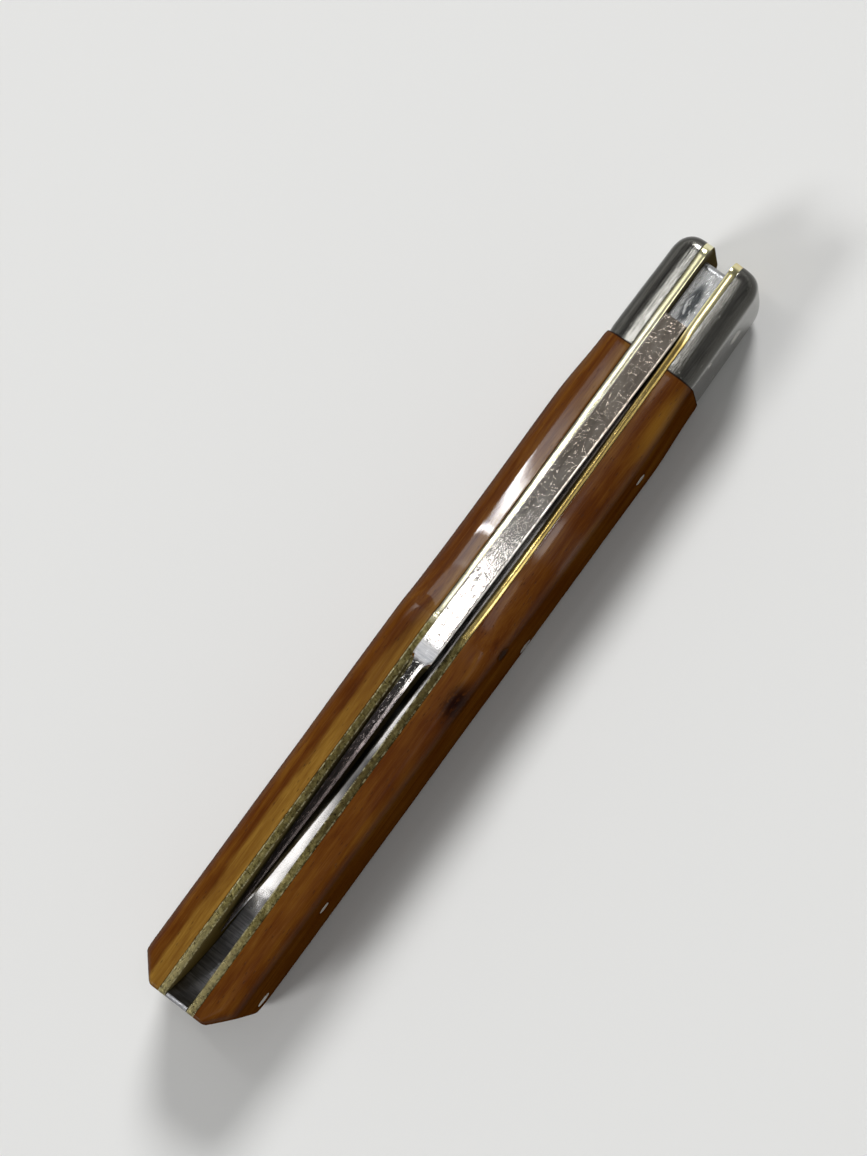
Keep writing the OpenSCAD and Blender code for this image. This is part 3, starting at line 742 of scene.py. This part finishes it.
def steel_spring():
    """Spring steel: polished along the bar, with a painted dark reflection on a stretch of it, painted shade
    under the blade and painted shadow deep under the head; darker and cross-ground on the ramp.
    """
    s = Shader("spring_steel", (0.58, 0.57, 0.56), metallic=1.0, roughness=0.2)
    across = s.noise((5.5, 0.35, 0.6), detail=5.0, roughness=0.7)
    cloud = s.noise((0.4, 1.0, 1.0), detail=3.0)
    ramp_share = s.fit(s.x, -34.8, -37.0)
    dark_reflection = s.near((-18.5, 0.7, 4.3), (0.15, 0.0, 0.0), 0.2, 1.0)
    # Darker patch on the bar between its highlights: painted dark reflection
    bar = s.paint(s.ramp(cloud, BAR_TONES), dark_reflection, DARK_REFLECTION_BAR, 0.92)
    bar = s.blend(s.fit(s.x, -8.0, -3.5, 0.0, 0.85), bar, SHADED_BAR)
    # Near-black bar deep under the blade's head: painted shadow
    bar = s.blend(s.fit(s.x, 13.0, 16.0, 0.0, 0.85), bar, DEEP_SHADOW_BAR)
    ground = s.times(across, s.plus(s.times(ramp_share, 0.6), 0.06))
    return s.use(
        base_color=s.blend(ramp_share, bar, s.ramp(across, RAMP_TONES)),
        roughness=s.plus(s.fit(cloud, 0.3, 0.7, 0.12, 0.2), s.times(ramp_share, 0.16)),
        normal=s.bump(ground, 0.06),
    )


PIN_TONES = [(0.3, (0.32, 0.31, 0.28)), (0.7, (0.52, 0.50, 0.46))]


def pin_metal():
    """Nickel silver of the pins, hammered and polished."""
    s = Shader("pin_nickel", (0.60, 0.58, 0.53), metallic=1.0, roughness=0.3)
    cloud = s.noise((1.5, 1.5, 1.5))
    roughness = s.fit(cloud, 0.3, 0.7, 0.24, 0.4)
    return s.use(base_color=s.ramp(cloud, PIN_TONES), roughness=roughness, normal=s.bump(cloud, 0.03))


# Covers and bolsters

LIP = 0.06
BAND_MOST = 0.46
ROUND_MOST = 0.45
SLANT_SOFT, SLANT_SOFT_LEN = 0.05, 0.6
NOSE_STOP = 0.98
# Waves of hand work: depth, and how far apart they are
COVER_WAVE, COVER_WAVE_LEN = 0.035, 9.0
EDGE_WAVE_BUTT, EDGE_WAVE_HEAD, EDGE_WAVE_LEN = 0.02, 0.004, 5.0
BOLSTER_WAVE, BOLSTER_WAVE_LEN = 0.015, 4.0
WAVE_MIDDLE = 0.6
SEAM_DEEP, SEAM_W = 0.07, 0.12
SEED = {"left": 3.0, "right": 11.0}
BOLSTER_SEED = {"left": 21.0, "right": 31.0}
BAND_STEPS = 6
ARC_STEPS = 18
ARC_POWER = 2.5
SIDE_STEPS = 8


def arc_point(k):
    """Shares of the way across and up along a rounding that is fuller than a quarter circle."""
    a = pi / 2 * k / ARC_STEPS
    return sin(a) ** (2 / ARC_POWER), max(cos(a), 0.0) ** (2 / ARC_POWER)


def scale_section(x, thick, top, low, level):
    """Cross-section of a cover or bolster on the left side, round from its inner back corner."""
    band = min(level, thick * BAND_MOST)
    drop = min(EDGE_DROP, (top - low) * ROUND_MOST)
    rise = min(BACK_DROP, (top - low) * ROUND_MOST)
    points = [(LINER_OUT, low + LIP), (LINER_OUT, top - LIP), (LINER_OUT + LIP * 0.3, top - LIP * 0.3)]
    points += [(LINER_OUT + mix(LIP, band, k / BAND_STEPS), top) for k in range(BAND_STEPS)]
    for k in range(ARC_STEPS + 1):
        over, up = arc_point(k)
        points.append((LINER_OUT + band + (thick - band) * over, top - drop * (1 - up)))
    side_top, side_low = top - drop, low + rise
    points += [(LINER_OUT + thick, mix(side_top, side_low, k / SIDE_STEPS)) for k in range(1, SIDE_STEPS)]
    for k in range(ARC_STEPS, -1, -1):
        over, up = arc_point(k)
        points.append((LINER_OUT + band + (thick - band) * over, low + rise * (1 - up)))
    points.append((LINER_OUT + LIP, low))
    return [(x, y, z) for y, z in points]


def cover_thick(x):
    slant = max(1 - (x - BUTT_X) / BUTT_SLANT_LEN, 0.0)
    soft = SLANT_SOFT * exp(-(((x - BUTT_X - BUTT_SLANT_LEN) / SLANT_SOFT_LEN) ** 2))
    fall = ease((x - JOINT_X + COVER_FALL_LEN) / COVER_FALL_LEN)
    return COVER_T - slant * BUTT_SLANT_W - soft - fall * COVER_FALL


def bolster_thick(x):
    fall = clamp01((x - JOINT_X) / (HEAD_X - JOINT_X - NOSE_ROUND_LEN))
    inward = clamp01((x - HEAD_X + NOSE_ROUND_LEN) / NOSE_ROUND_LEN)
    nose = NOSE_ROUND_W * (1 - sqrt(1 - inward ** 2 * NOSE_STOP))
    return COVER_T - COVER_FALL - BOLSTER_STEP - fall * BOLSTER_FALL - nose


def cover_band(x, side):
    """Width of a cover's level band, which hand wear has narrowed on the head half."""
    return mix(EDGE_BAND, HEAD_BAND[side], ease((x - HEAD_FROM_X) / 8))


def bolster_band(x, side):
    return BOLSTER_BAND[side]


def leaned(x, y, z):
    """Height of a point, with the head half's edge rounded off away from the liner."""
    amount = HEAD_LEAN * ease((x - HEAD_FROM_X) / 4) * clamp01((z - PIVOT_Z) / 4)
    return z - amount * (y - LINER_OUT)


def seam_in(distance):
    """How far an edge is broken where a cover and a bolster meet."""
    return SEAM_DEEP * (1 - clamp01(distance / SEAM_W))


def outward(y):
    """0 on the liner, so that nothing moves there, and 1 from 1.5 mm out."""
    return clamp01((y - LINER_OUT) / 1.5)


def cover_point(x, y, z, side):
    """Moves a cover's point for hand work and wear: slow waves, and the right one's chip and pit."""
    seed = SEED[side]
    y += COVER_WAVE * outward(y) * (rough(x, y, z, COVER_WAVE_LEN, seed) - WAVE_MIDDLE)
    wave = mix(EDGE_WAVE_BUTT, EDGE_WAVE_HEAD, ease(x / 4)) * rough(x, y, z, EDGE_WAVE_LEN, seed + 1)
    z = max(leaned(x, y, z + wave), 0.0)
    if side == "right":
        along = (x - CHIP_X) / CHIP_HALF
        height = clamp01((z - edge_line(x) + CHIP_TALL) / 0.5)
        ragged = 1 + 0.35 * rough(x, y, z, 0.5, 5.0)
        bite = CHIP_DEEP * sqrt(max(1 - along * along, 0.0)) * ragged * height
        y = min(y, COVER_HIGH[1] - bite)
        far = ((x - BURN_X) / 1.3) ** 2 + ((y + BURN_Y) / 0.7) ** 2 + ((z - BURN_Z) / 0.9) ** 2
        y -= PIT_DEEP * exp(-far) * (1 + 0.8 * rough(x, y, z, 0.4, 8.0))
    return x, y, z


def bolster_point(x, y, z, side):
    lump = rough(x, y, z, BOLSTER_WAVE_LEN, BOLSTER_SEED[side]) - WAVE_MIDDLE
    return x, y + BOLSTER_WAVE * outward(y) * lump, leaned(x, y, z)


def on_side(side, points):
    """Points of the left side, mirrored where the piece is on the right."""
    return [(x, y if side == "left" else -y, z) for x, y, z in points]


def scale_sections(side, xs, thick_at, band_at, moved):
    """Sections of a cover or bolster, with its edge broken where the two meet."""
    sections = []
    for x in xs:
        cut = seam_in(abs(x - JOINT_X))
        thick, top, low = thick_at(x) - cut, top_z(x) - cut, back_z(x) + cut
        section = scale_section(x, thick, top, low, band_at(x, side))
        sections.append(on_side(side, [moved(*p, side) for p in section]))
    return sections


def make_cover(side):
    sections = scale_sections(side, COVER_XS, cover_thick, cover_band, cover_point)
    cover = loft(f"bone_cover_{side}", sections, bone(side), sharp=40.0)
    dress(cover, "handle", "cover_bone", f"cover_{side}")


def make_bolster(side, material):
    sections = scale_sections(side, NOSE_XS, bolster_thick, bolster_band, bolster_point)
    bolster = loft(f"nickel_bolster_{side}", sections, material, sharp=40.0)
    dress(bolster, "handle", "bolster_metal", f"bolster_{side}")


# Liners

LINER_BEVEL = 0.1
LINER_WEAR, LINER_DOME = 0.12, 0.01
LINER_WAVE, FILED_WAVE = 0.02, 0.03
FILED_FROM_X, FILED_RUN = 1.0, 3.0
RIGHT_WEAR_X = 36.5
LINER_SEED = {"left": 41.0, "right": 51.0}


def make_liner(side, material):
    """Brass plate whose long edges are broken, filed unevenly on the butt half."""
    sections = []
    seed = LINER_SEED[side]
    for x in COVER_XS + NOSE_XS[1:]:
        filed = clamp01((FILED_FROM_X - x) / FILED_RUN)
        wave = (LINER_WAVE + FILED_WAVE * filed) * rough(x, 0.0, 0.0, 1.6, seed)
        bevel = LINER_BEVEL * (0.6 + 0.2 * filed + 0.5 * rough(x, 0.0, 0.0, 3.0, seed + 4))
        top, low = top_z(x) + min(wave, 0.0), back_z(x)
        middle = (LINER_IN + LINER_OUT) / 2
        worn = LINER_WEAR * ((1 - filed) if side == "left" else ease((x - RIGHT_WEAR_X) / 3.0))
        half_up, round_in = mix(low, top, 0.5), 0.3 * bevel
        inner = [
            (LINER_IN, low + bevel), (LINER_IN, half_up), (LINER_IN, top - bevel),
            (LINER_IN + round_in, top - round_in), (LINER_IN + bevel, top),
        ]
        outer = [
            (middle, top + LINER_DOME - worn / 2), (LINER_OUT - bevel, top - worn),
            (LINER_OUT - round_in, top - round_in - worn), (LINER_OUT, top - bevel - worn),
            (LINER_OUT, half_up), (LINER_OUT, low + bevel), (LINER_OUT - bevel, low), (LINER_IN + bevel, low),
        ]
        sections.append(on_side(side, [(x, y, z) for y, z in inner + outer]))
    liner = loft(f"brass_liner_{side}", sections, material)
    dress(liner, "handle", "liner_brass", f"liner_{side}")


# Blade


def clip_t(x):
    return clamp01((SWEDGE_X - x) / CLIP_LEN)


def spine_z(x):
    if x >= SWEDGE_X:
        return mix(SWEDGE_Z, SHOULDER_Z, (x - SWEDGE_X) / (SHOULDER_X - SWEDGE_X))
    t = clip_t(x)
    return mix(SWEDGE_Z, TIP_Z, t + CLIP_BOW * t * (1 - t))


def low_z(x):
    if x >= BELLY_X:
        return mix(EDGE_LINE_Z, CHOIL_Z, ease((x - CHOIL_X + CHOIL_LEN) / CHOIL_LEN))
    return mix(EDGE_LINE_Z, TIP_Z - TIP_HEIGHT, ((BELLY_X - x) / BELLY_LEN) ** BELLY_BEND)


def blade_half(x):
    if x >= SWEDGE_X:
        return mix(SWEDGE_START_T, SPINE_T, (x - SWEDGE_X) / (SHOULDER_X - SWEDGE_X)) / 2
    return mix(SWEDGE_START_T / 2, TIP_HALF, clip_t(x) ** TAPER_BEND)


def grind_amount(x):
    return ease((GRIND_X - x) / GRIND_RUN)


def bevel_tall(x):
    return min(BEVEL_H, (spine_z(x) - low_z(x)) * BEVEL_SHARE)


def swedge_tall(x):
    return min(SWEDGE_H, (spine_z(x) - low_z(x)) * SWEDGE_SHARE)


def ground_half(x, down):
    """Half width of the blade at a depth below its spine: the grind thins it evenly down to the bevel."""
    half = blade_half(x)
    share = grind_amount(x) * down / (spine_z(x) - low_z(x) - bevel_tall(x))
    return mix(half, min(BEVEL_HALF, half * BEVEL_WIDTH_SHARE), share)


def lean_y(x):
    if x >= SWEDGE_X:
        return SWEDGE_LEAN * (SHOULDER_X - x) / (SHOULDER_X - SWEDGE_X)
    gap = mix(SWEDGE_GAP, TIP_GAP, clip_t(x) ** GAP_BEND)
    widest = mix(blade_half(x), ground_half(x, swedge_tall(x)), ease((SWEDGE_X - x) / LEAN_RUN))
    return LINER_IN - gap - widest


def nick_depth(x, z):
    """Depth of the nail nick below the left face."""
    top = spine_z(NICK_X) - NICK_BELOW
    rise = (z - top + NICK_H) / NICK_H
    if rise < 0 or z > top:
        return 0.0
    disc_r = ((NICK_LEN / 2) ** 2 + NICK_DEPTH ** 2) / (2 * NICK_DEPTH)
    return max(NICK_DEPTH * rise - (x - NICK_X) ** 2 / (2 * disc_r), 0.0)


FLAT_ROWS = 16
SWEDGE_ROWS = 4
TANG_EDGE = 0.08
# Points across half of the ridge: share of its half width, and rise
RIDGE_POINTS = [(0.4, 0.002), (0.7, 0.001), (1.0, 0.0)]


def flat_heights(x, high, low):
    """Heights of the points down the flat: even, but close about the nail nick."""
    even = spread(high, low, FLAT_ROWS)
    if abs(x - NICK_X) > NICK_LEN / 2 + 1:
        return even
    top = spine_z(NICK_X) - NICK_BELOW
    rows = [high, mix(high, top, 0.5), top + 0.001, top - 0.02]
    rows += spread(top - 0.15, top - NICK_H, 7)
    return rows + spread(rows[-1], low, 5)[1:]


def blade_section(x):
    """Cross-section of the blade, down its left side from the spine and up its right."""
    zs, ze, half, lean = spine_z(x), low_z(x), blade_half(x), lean_y(x)
    step = ease((SWEDGE_X - x) / SWEDGE_RUN)
    ridge = mix(RIDGE_W / 2, TIP_HALF / 2, clip_t(x) ** RIDGE_BEND)
    ridge_limit = ground_half(x, swedge_tall(x)) * RIDGE_WIDTH_SHARE
    ridge_half = mix(half - SPINE_CHAMFER, min(ridge, ridge_limit), step)
    swedge = mix(SPINE_CHAMFER, swedge_tall(x), step * step)
    foot_half = ground_half(x, swedge)
    bevel_z = ze + bevel_tall(x)
    side = [(ridge_half * share, zs + rise, 0.0) for share, rise in RIDGE_POINTS]
    for k in range(1, SWEDGE_ROWS + 1):
        t = k / SWEDGE_ROWS
        hollow = SWEDGE_HOLLOW * step * sin(pi * t) * foot_half
        side.append((mix(ridge_half, foot_half, t) - hollow, zs - swedge * t, 0.0))
    for z in flat_heights(x, zs - swedge, bevel_z)[1:]:
        side.append((ground_half(x, zs - z), z, nick_depth(x, z)))
    side.append((mix(half, EDGE_HALF, grind_amount(x)), ze, 0.0))
    left = [(x, lean + h - nick, z) for h, z, nick in side]
    worn_from = mix(ridge_half - SPINE_WORN_W, ridge_half * RIDGE_WEAR_SHARE, step)
    side[0] = (worn_from - 0.04 * (1 - step), zs + 0.001, 0.0)
    side[1] = (worn_from + 0.02 * step, zs + 0.001, 0.0)
    side[2] = (ridge_half, zs - mix(SPINE_WORN_DEEP, RIDGE_WEAR * ridge_half, step), 0.0)
    narrow = mix(1.0, RIGHT_SWEDGE_SHARE, ease((SWEDGE_X - x) / RIGHT_SWEDGE_RUN))
    right = [(mix(ridge_half, h, narrow) if h > ridge_half else h, z) for h, z, nick in side]
    return left + [(x, lean - h, z) for h, z in reversed(right)]


def tang_section(x, top, low):
    """Cross-section of the square tang, with as many points as the blade's."""
    count = len(blade_section(SHOULDER_X)) // 2
    side = [(TANG_Y * 0.5, top), (TANG_Y - TANG_EDGE, top)]
    side += [(TANG_Y, mix(top - TANG_EDGE, low + TANG_EDGE, k / (count - 4))) for k in range(count - 3)]
    side.append((TANG_Y - TANG_EDGE, low))
    return [(x, y, z) for y, z in side] + [(x, -y, z) for y, z in reversed(side)]


def kick_section(x, top, low):
    """The blade's section carried down to the kick."""
    section = blade_section(x)
    z0 = low_z(x)
    return [(a, b, mix(low, top, (c - z0) / (top - z0))) for a, b, c in section]


# Stretches of the blade from the tip on: where each ends, and in how many steps
BLADE_LEGS = [
    (BELLY_X, 50), (SWEDGE_X - SWEDGE_RUN, 10), (SWEDGE_X, 16), (NICK_FROM, 10), (NICK_TO, 44),
    (GRIND_X - GRIND_RUN, 8), (GRIND_X, 10), (CHOIL_X - CHOIL_LEN, 4), (CHOIL_X, 10),
]
KICK_STEP = 0.04
CORNER_STEPS = 8


def make_blade():
    """Blade from its tip to the square tang, with close stations where the grind changes."""
    xs = [TIP_X + 0.05 * k for k in range(6)]
    for end, count in BLADE_LEGS:
        xs += spread(xs[-1], end, count)[1:]
    sections = [blade_section(x) for x in xs]
    kick_x = PIVOT_X - TANG_HALF
    sections.append(blade_section(kick_x - KICK_STEP))
    sections += [kick_section(x, spine_z(x), TANG_LOW) for x in (kick_x, SHOULDER_X - KICK_STEP)]
    corner_x = PIVOT_X + TANG_HALF - TANG_CORNER_R
    sections += [tang_section(x, TANG_TOP, TANG_LOW) for x in spread(SHOULDER_X, corner_x, 8)]
    for k in range(1, CORNER_STEPS + 1):
        a = pi / 2 * k / CORNER_STEPS
        inward = TANG_CORNER_R * (1 - cos(a))
        sections.append(tang_section(corner_x + TANG_CORNER_R * sin(a), TANG_TOP - inward, TANG_LOW + inward))
    blade = loft("steel_blade", sections, steel_blade())
    dress(blade, "blade", "blade_steel", "blade")


# Back spring


def spring_top(x):
    if x < WALL_X:
        return top_z(x)
    if x < MEET_X:
        return RAMP_Z - sqrt(RAMP_R ** 2 - (RAMP_X - x) ** 2)
    if x < HOLLOW_X:
        return HOLLOW_Z - sqrt(BAR_HOLLOW_R ** 2 - (HOLLOW_X - x) ** 2)
    if x < TAPER_X:
        return BAR_H
    if x < BAR_END_X:
        return mix(BAR_H, BAR_END_H, (x - TAPER_X) / (BAR_END_X - TAPER_X))
    if x < NOSE_START_X:
        return mix(BAR_END_H, SPRING_NOSE_H, (x - BAR_END_X) / (NOSE_START_X - BAR_END_X))
    return SPRING_NOSE_H


def make_spring():
    """Spring from its end wall and ramp at the butt, along its hollow bar to the nose under the tang."""
    xs = [x for x in BUTT_XS if x < WALL_X]
    xs += spread(WALL_X, MEET_X, 90) + spread(MEET_X, HOLLOW_X, 60)[1:] + [TAPER_X]
    xs += spread(TAPER_X, NOSE_START_X, 40)[1:] + [x for x in NOSE_XS if NOSE_START_X < x < NOSE_X - 0.02]
    xs.append(NOSE_X)
    edge, half = SPRING_EDGE, SPRING_Y
    across = [half - edge - k * (half - edge) / 6 for k in range(13)]
    sections = []
    for x in xs:
        top, low = spring_top(x), back_z(x)
        top -= abs(GRIND_MARK * rough(x, 0.0, 0.0, 0.35, GRIND_SEED)) * clamp01((x - WALL_X) / 0.5)
        ground = ease((x - MEET_X) / BAR_GRIND_RUN)
        fall = [ground * (BAR_TILT * (half - y) + (half ** 2 - y ** 2) / (2 * BAR_CROSS_R)) for y in across]
        face = [(y, top - f) for y, f in zip(across, fall)]
        left = [(half, low + edge), (half, mix(low, top, 0.5)), (half, top - edge)]
        right = [(-half, face[-1][1] - edge), (-half, mix(low, face[-1][1], 0.5)), (-half, low + edge)]
        points = left + face + right + [(edge - half, low), (half - edge, low)]
        sections.append([(x, y, z) for y, z in points])
    spring = loft("steel_spring", sections, steel_spring())
    dress(spring, "handle", "spring_steel", "back_spring")


# Pins

PIN_SIDES = 48
PIN_DOME, RIVET_DOME = 0.05, 0.03
PIN_EDGE = 0.03


def pin_end(y, way, radius, dome):
    """Profile of a pin's end from its rim to its axis: domed outside the liners, and flat in the well."""
    rim = [(radius, 0.0), (radius - PIN_EDGE, 0.5)]
    if abs(y) > LINER_OUT:
        rim += [(radius * 0.7, 0.85), (radius * 0.35, 0.97), (0.0, 1.0)]
        return [(a, y + way * dome * b) for a, b in rim]
    return [(a, y + way * PIN_EDGE * (2 * b - 1)) for a, b in [*rim, (0.0, 0.5)]]


def make_pin(node, material, dome=PIN_DOME):
    """Turned pin on the axis of its node, with slightly domed outer ends."""
    low, high = box_mm(node)
    x, z, r = pin_axis(node)
    profile = pin_end(low[1], -1, r, dome)[::-1] + pin_end(high[1], 1, r, dome)
    points, rings = [], []
    for radius, y in profile:
        count = PIN_SIDES if radius else 1
        rings.append([len(points) + k % count for k in range(PIN_SIDES + 1)])
        for k in range(count):
            a = 2 * pi * k / PIN_SIDES
            points.append((x + radius * cos(a), y, z + radius * sin(a)))
    faces = []
    for one, two in zip(rings, rings[1:]):
        for k in range(PIN_SIDES):
            corners = (one[k], one[k + 1], two[k + 1], two[k])
            faces.append(tuple(dict.fromkeys(corners)))
    pin = make_object(f"nickel_{node}", points, faces, material)
    dress(pin, "handle", "pin_metal", node)


# Stage, lights and camera

FLOOR_HALF = 4000.0


def make_floor():
    """Pale floor under the knife, out to the surround's pale horizon."""
    corners = ((-1, -1), (1, -1), (1, 1), (-1, 1))
    points = [(x * FLOOR_HALF, y * FLOOR_HALF, 0.0) for x, y in corners]
    s = Shader("floor_pale", (0.80, 0.80, 0.79), roughness=0.85)
    s.bsdf.inputs["Specular IOR Level"].default_value = 0.1
    floor = make_object("floor", points, [(0, 1, 2, 3)], s.material)


def add_lamp(name, light, way, place=(0.0, 0.0, 0.0)):
    lamp = bpy.data.objects.new(name, light)
    bpy.context.scene.collection.objects.link(lamp)
    lamp.location = Vector(place) * MM
    lamp.rotation_euler = way.to_track_quat("-Z", "Y").to_euler()


def soft_lamp(name, place, target, size, radiance, tall):
    """Round lamp, or an oblong one size wide and tall high; radiance 1 is the plain level's white."""
    light = bpy.data.lights.new(name, "AREA")
    light.shape = "RECTANGLE" if tall else "DISK"
    light.size = size * MM
    light.size_y = tall * MM
    area = size * tall if tall else pi * (size / 2) ** 2
    light.energy = radiance * pi * area * MM * MM
    add_lamp(name, light, Vector(target) - Vector(place), place)


def sun_lamp(name, direction, across, share):
    """Far lamp, across degrees wide, that lights a level surface to a share of the plain level."""
    light = bpy.data.lights.new(name, "SUN")
    light.angle = radians(across)
    way = Vector(direction).normalized()
    light.energy = pi * share / way.z
    add_lamp(name, light, -way)


def greys(*stops):
    """Stops of a ramp of faintly warm greys."""
    return [(position, (grey, grey, grey * 0.99)) for position, grey in stops]


# Surround by height: pale at the horizon, dark above, a little paler overhead
SKY = greys((0.0, 0.80), (0.14, 0.78), (0.30, 0.36), (0.48, 0.15), (0.86, 0.13), (0.95, 0.27), (1.0, 0.27))
# How much of the ceiling's light is left, from the butt to the head
CEILING = greys((0.0, 0.10), (1.0, 1.0))


def make_world():
    """Studio surround, whose ceiling is darker over the butt."""
    world = bpy.data.worlds.new("studio")
    world.use_nodes = True
    t = Nodes(world.node_tree)
    way = t.split(t.add("TexCoord").outputs["Generated"])
    overhead = t.fit(way["Z"], 0.75, 0.92, smooth=False)
    along = t.fit(way["X"], -0.30, 0.02, smooth=False)
    color = t.blend(overhead, t.ramp(way["Z"], SKY), t.ramp(along, CEILING), kind="MULTIPLY")
    background = t.tree.nodes["Background"]
    background.inputs["Strength"].default_value = 1.0
    t.link(color, background.inputs["Color"])
    bpy.context.scene.world = world


# The photograph looks down on the opening edge from the right side, with the knife's length at a slant
CAMERA_TARGET = (3.11, 4.39, 13.75)
CAMERA_DISTANCE = 290.0
CAMERA_TILT = radians(9.35)
IMAGE_ACROSS, IMAGE_ALONG = 0.5904, 0.8071
VIEW_HEIGHT = 117.96
SENSOR_HEIGHT = 36.0


def make_camera():
    across = Vector((0.0, cos(CAMERA_TILT), sin(CAMERA_TILT)))
    along = Vector((1.0, 0.0, 0.0))
    right = IMAGE_ACROSS * along - IMAGE_ALONG * across
    up = IMAGE_ALONG * along + IMAGE_ACROSS * across
    back = right.cross(up)
    data = bpy.data.cameras.new("camera")
    data.sensor_fit = "VERTICAL"
    data.sensor_height = SENSOR_HEIGHT
    data.lens = SENSOR_HEIGHT * CAMERA_DISTANCE / VIEW_HEIGHT
    data.clip_start = 0.01
    data.clip_end = 20.0
    camera = bpy.data.objects.new("camera", data)
    bpy.context.scene.collection.objects.link(camera)
    turn = Matrix((right, up, back)).transposed().to_4x4()
    place = (Vector(CAMERA_TARGET) + CAMERA_DISTANCE * back) * MM
    camera.matrix_world = Matrix.Translation(place) @ turn
    bpy.context.scene.camera = camera


# Far lamps, which light the knife evenly: direction, width in degrees, share of the plain level
SUNS = {
    "head_sun": ((0.80, 0.38, 0.72), 16.0, 0.42),
    "butt_sun": ((-0.80, 0.34, 0.80), 16.0, 0.22),
}
# Near lamps, which glint in the metal and the gloss: place, target, width, radiance, height if oblong
LAMPS = {
    "key": ((24.0, 47.5, 315.0), (0.0, 0.0, 10.0), 15.0, 30.0, 0.0),
    "left_box": ((36.0, 135.0, 288.0), (20.0, 2.0, 13.0), 36.0, 2.1, 76.0),
    "left_far_box": ((80.0, 140.0, 288.0), (40.0, 2.0, 13.0), 50.0, 1.2, 84.0),
    "patch_lamp": ((24.2, 142.0, 277.0), (13.0, 3.0, 13.0), 5.0, 32.0, 56.0),
    "bar_lamp": ((-8.0, -111.0, 640.0), (-20.0, 0.0, 5.0), 100.0, 2.3, 0.0),
    "right_box": ((124.0, -98.0, 640.0), (40.0, -3.0, 13.0), 100.0, 4.5, 0.0),
    "clip_lamp": ((-211.0, -6.0, 640.0), (-10.0, 0.0, 15.0), 80.0, 4.5, 0.0),
}


def make_lights():
    for name, settings in SUNS.items():
        sun_lamp(name, *settings)
    for name, settings in LAMPS.items():
        soft_lamp(name, *settings)


make_camera()
make_lights()
make_world()
make_floor()

NICKEL, BRASS, PIN = nickel(), brass(), pin_metal()
for side in ("left", "right"):
    make_cover(side)
    make_bolster(side, NICKEL)
    make_liner(side, BRASS)
make_blade()
make_spring()
for node in ("pivot_pin", "spring_centre_pin", "spring_butt_pin"):
    make_pin(node, PIN)
for side in ("left", "right"):
    for place in ("front", "rear"):
        make_pin(f"cover_pin_{side}_{place}", PIN)
    for place in ("upper", "lower"):
        make_pin(f"bolster_rivet_{side}_{place}", PIN, RIVET_DOME)

bpy.context.scene.view_settings.view_transform = "Standard"
bpy.context.view_layer.update()
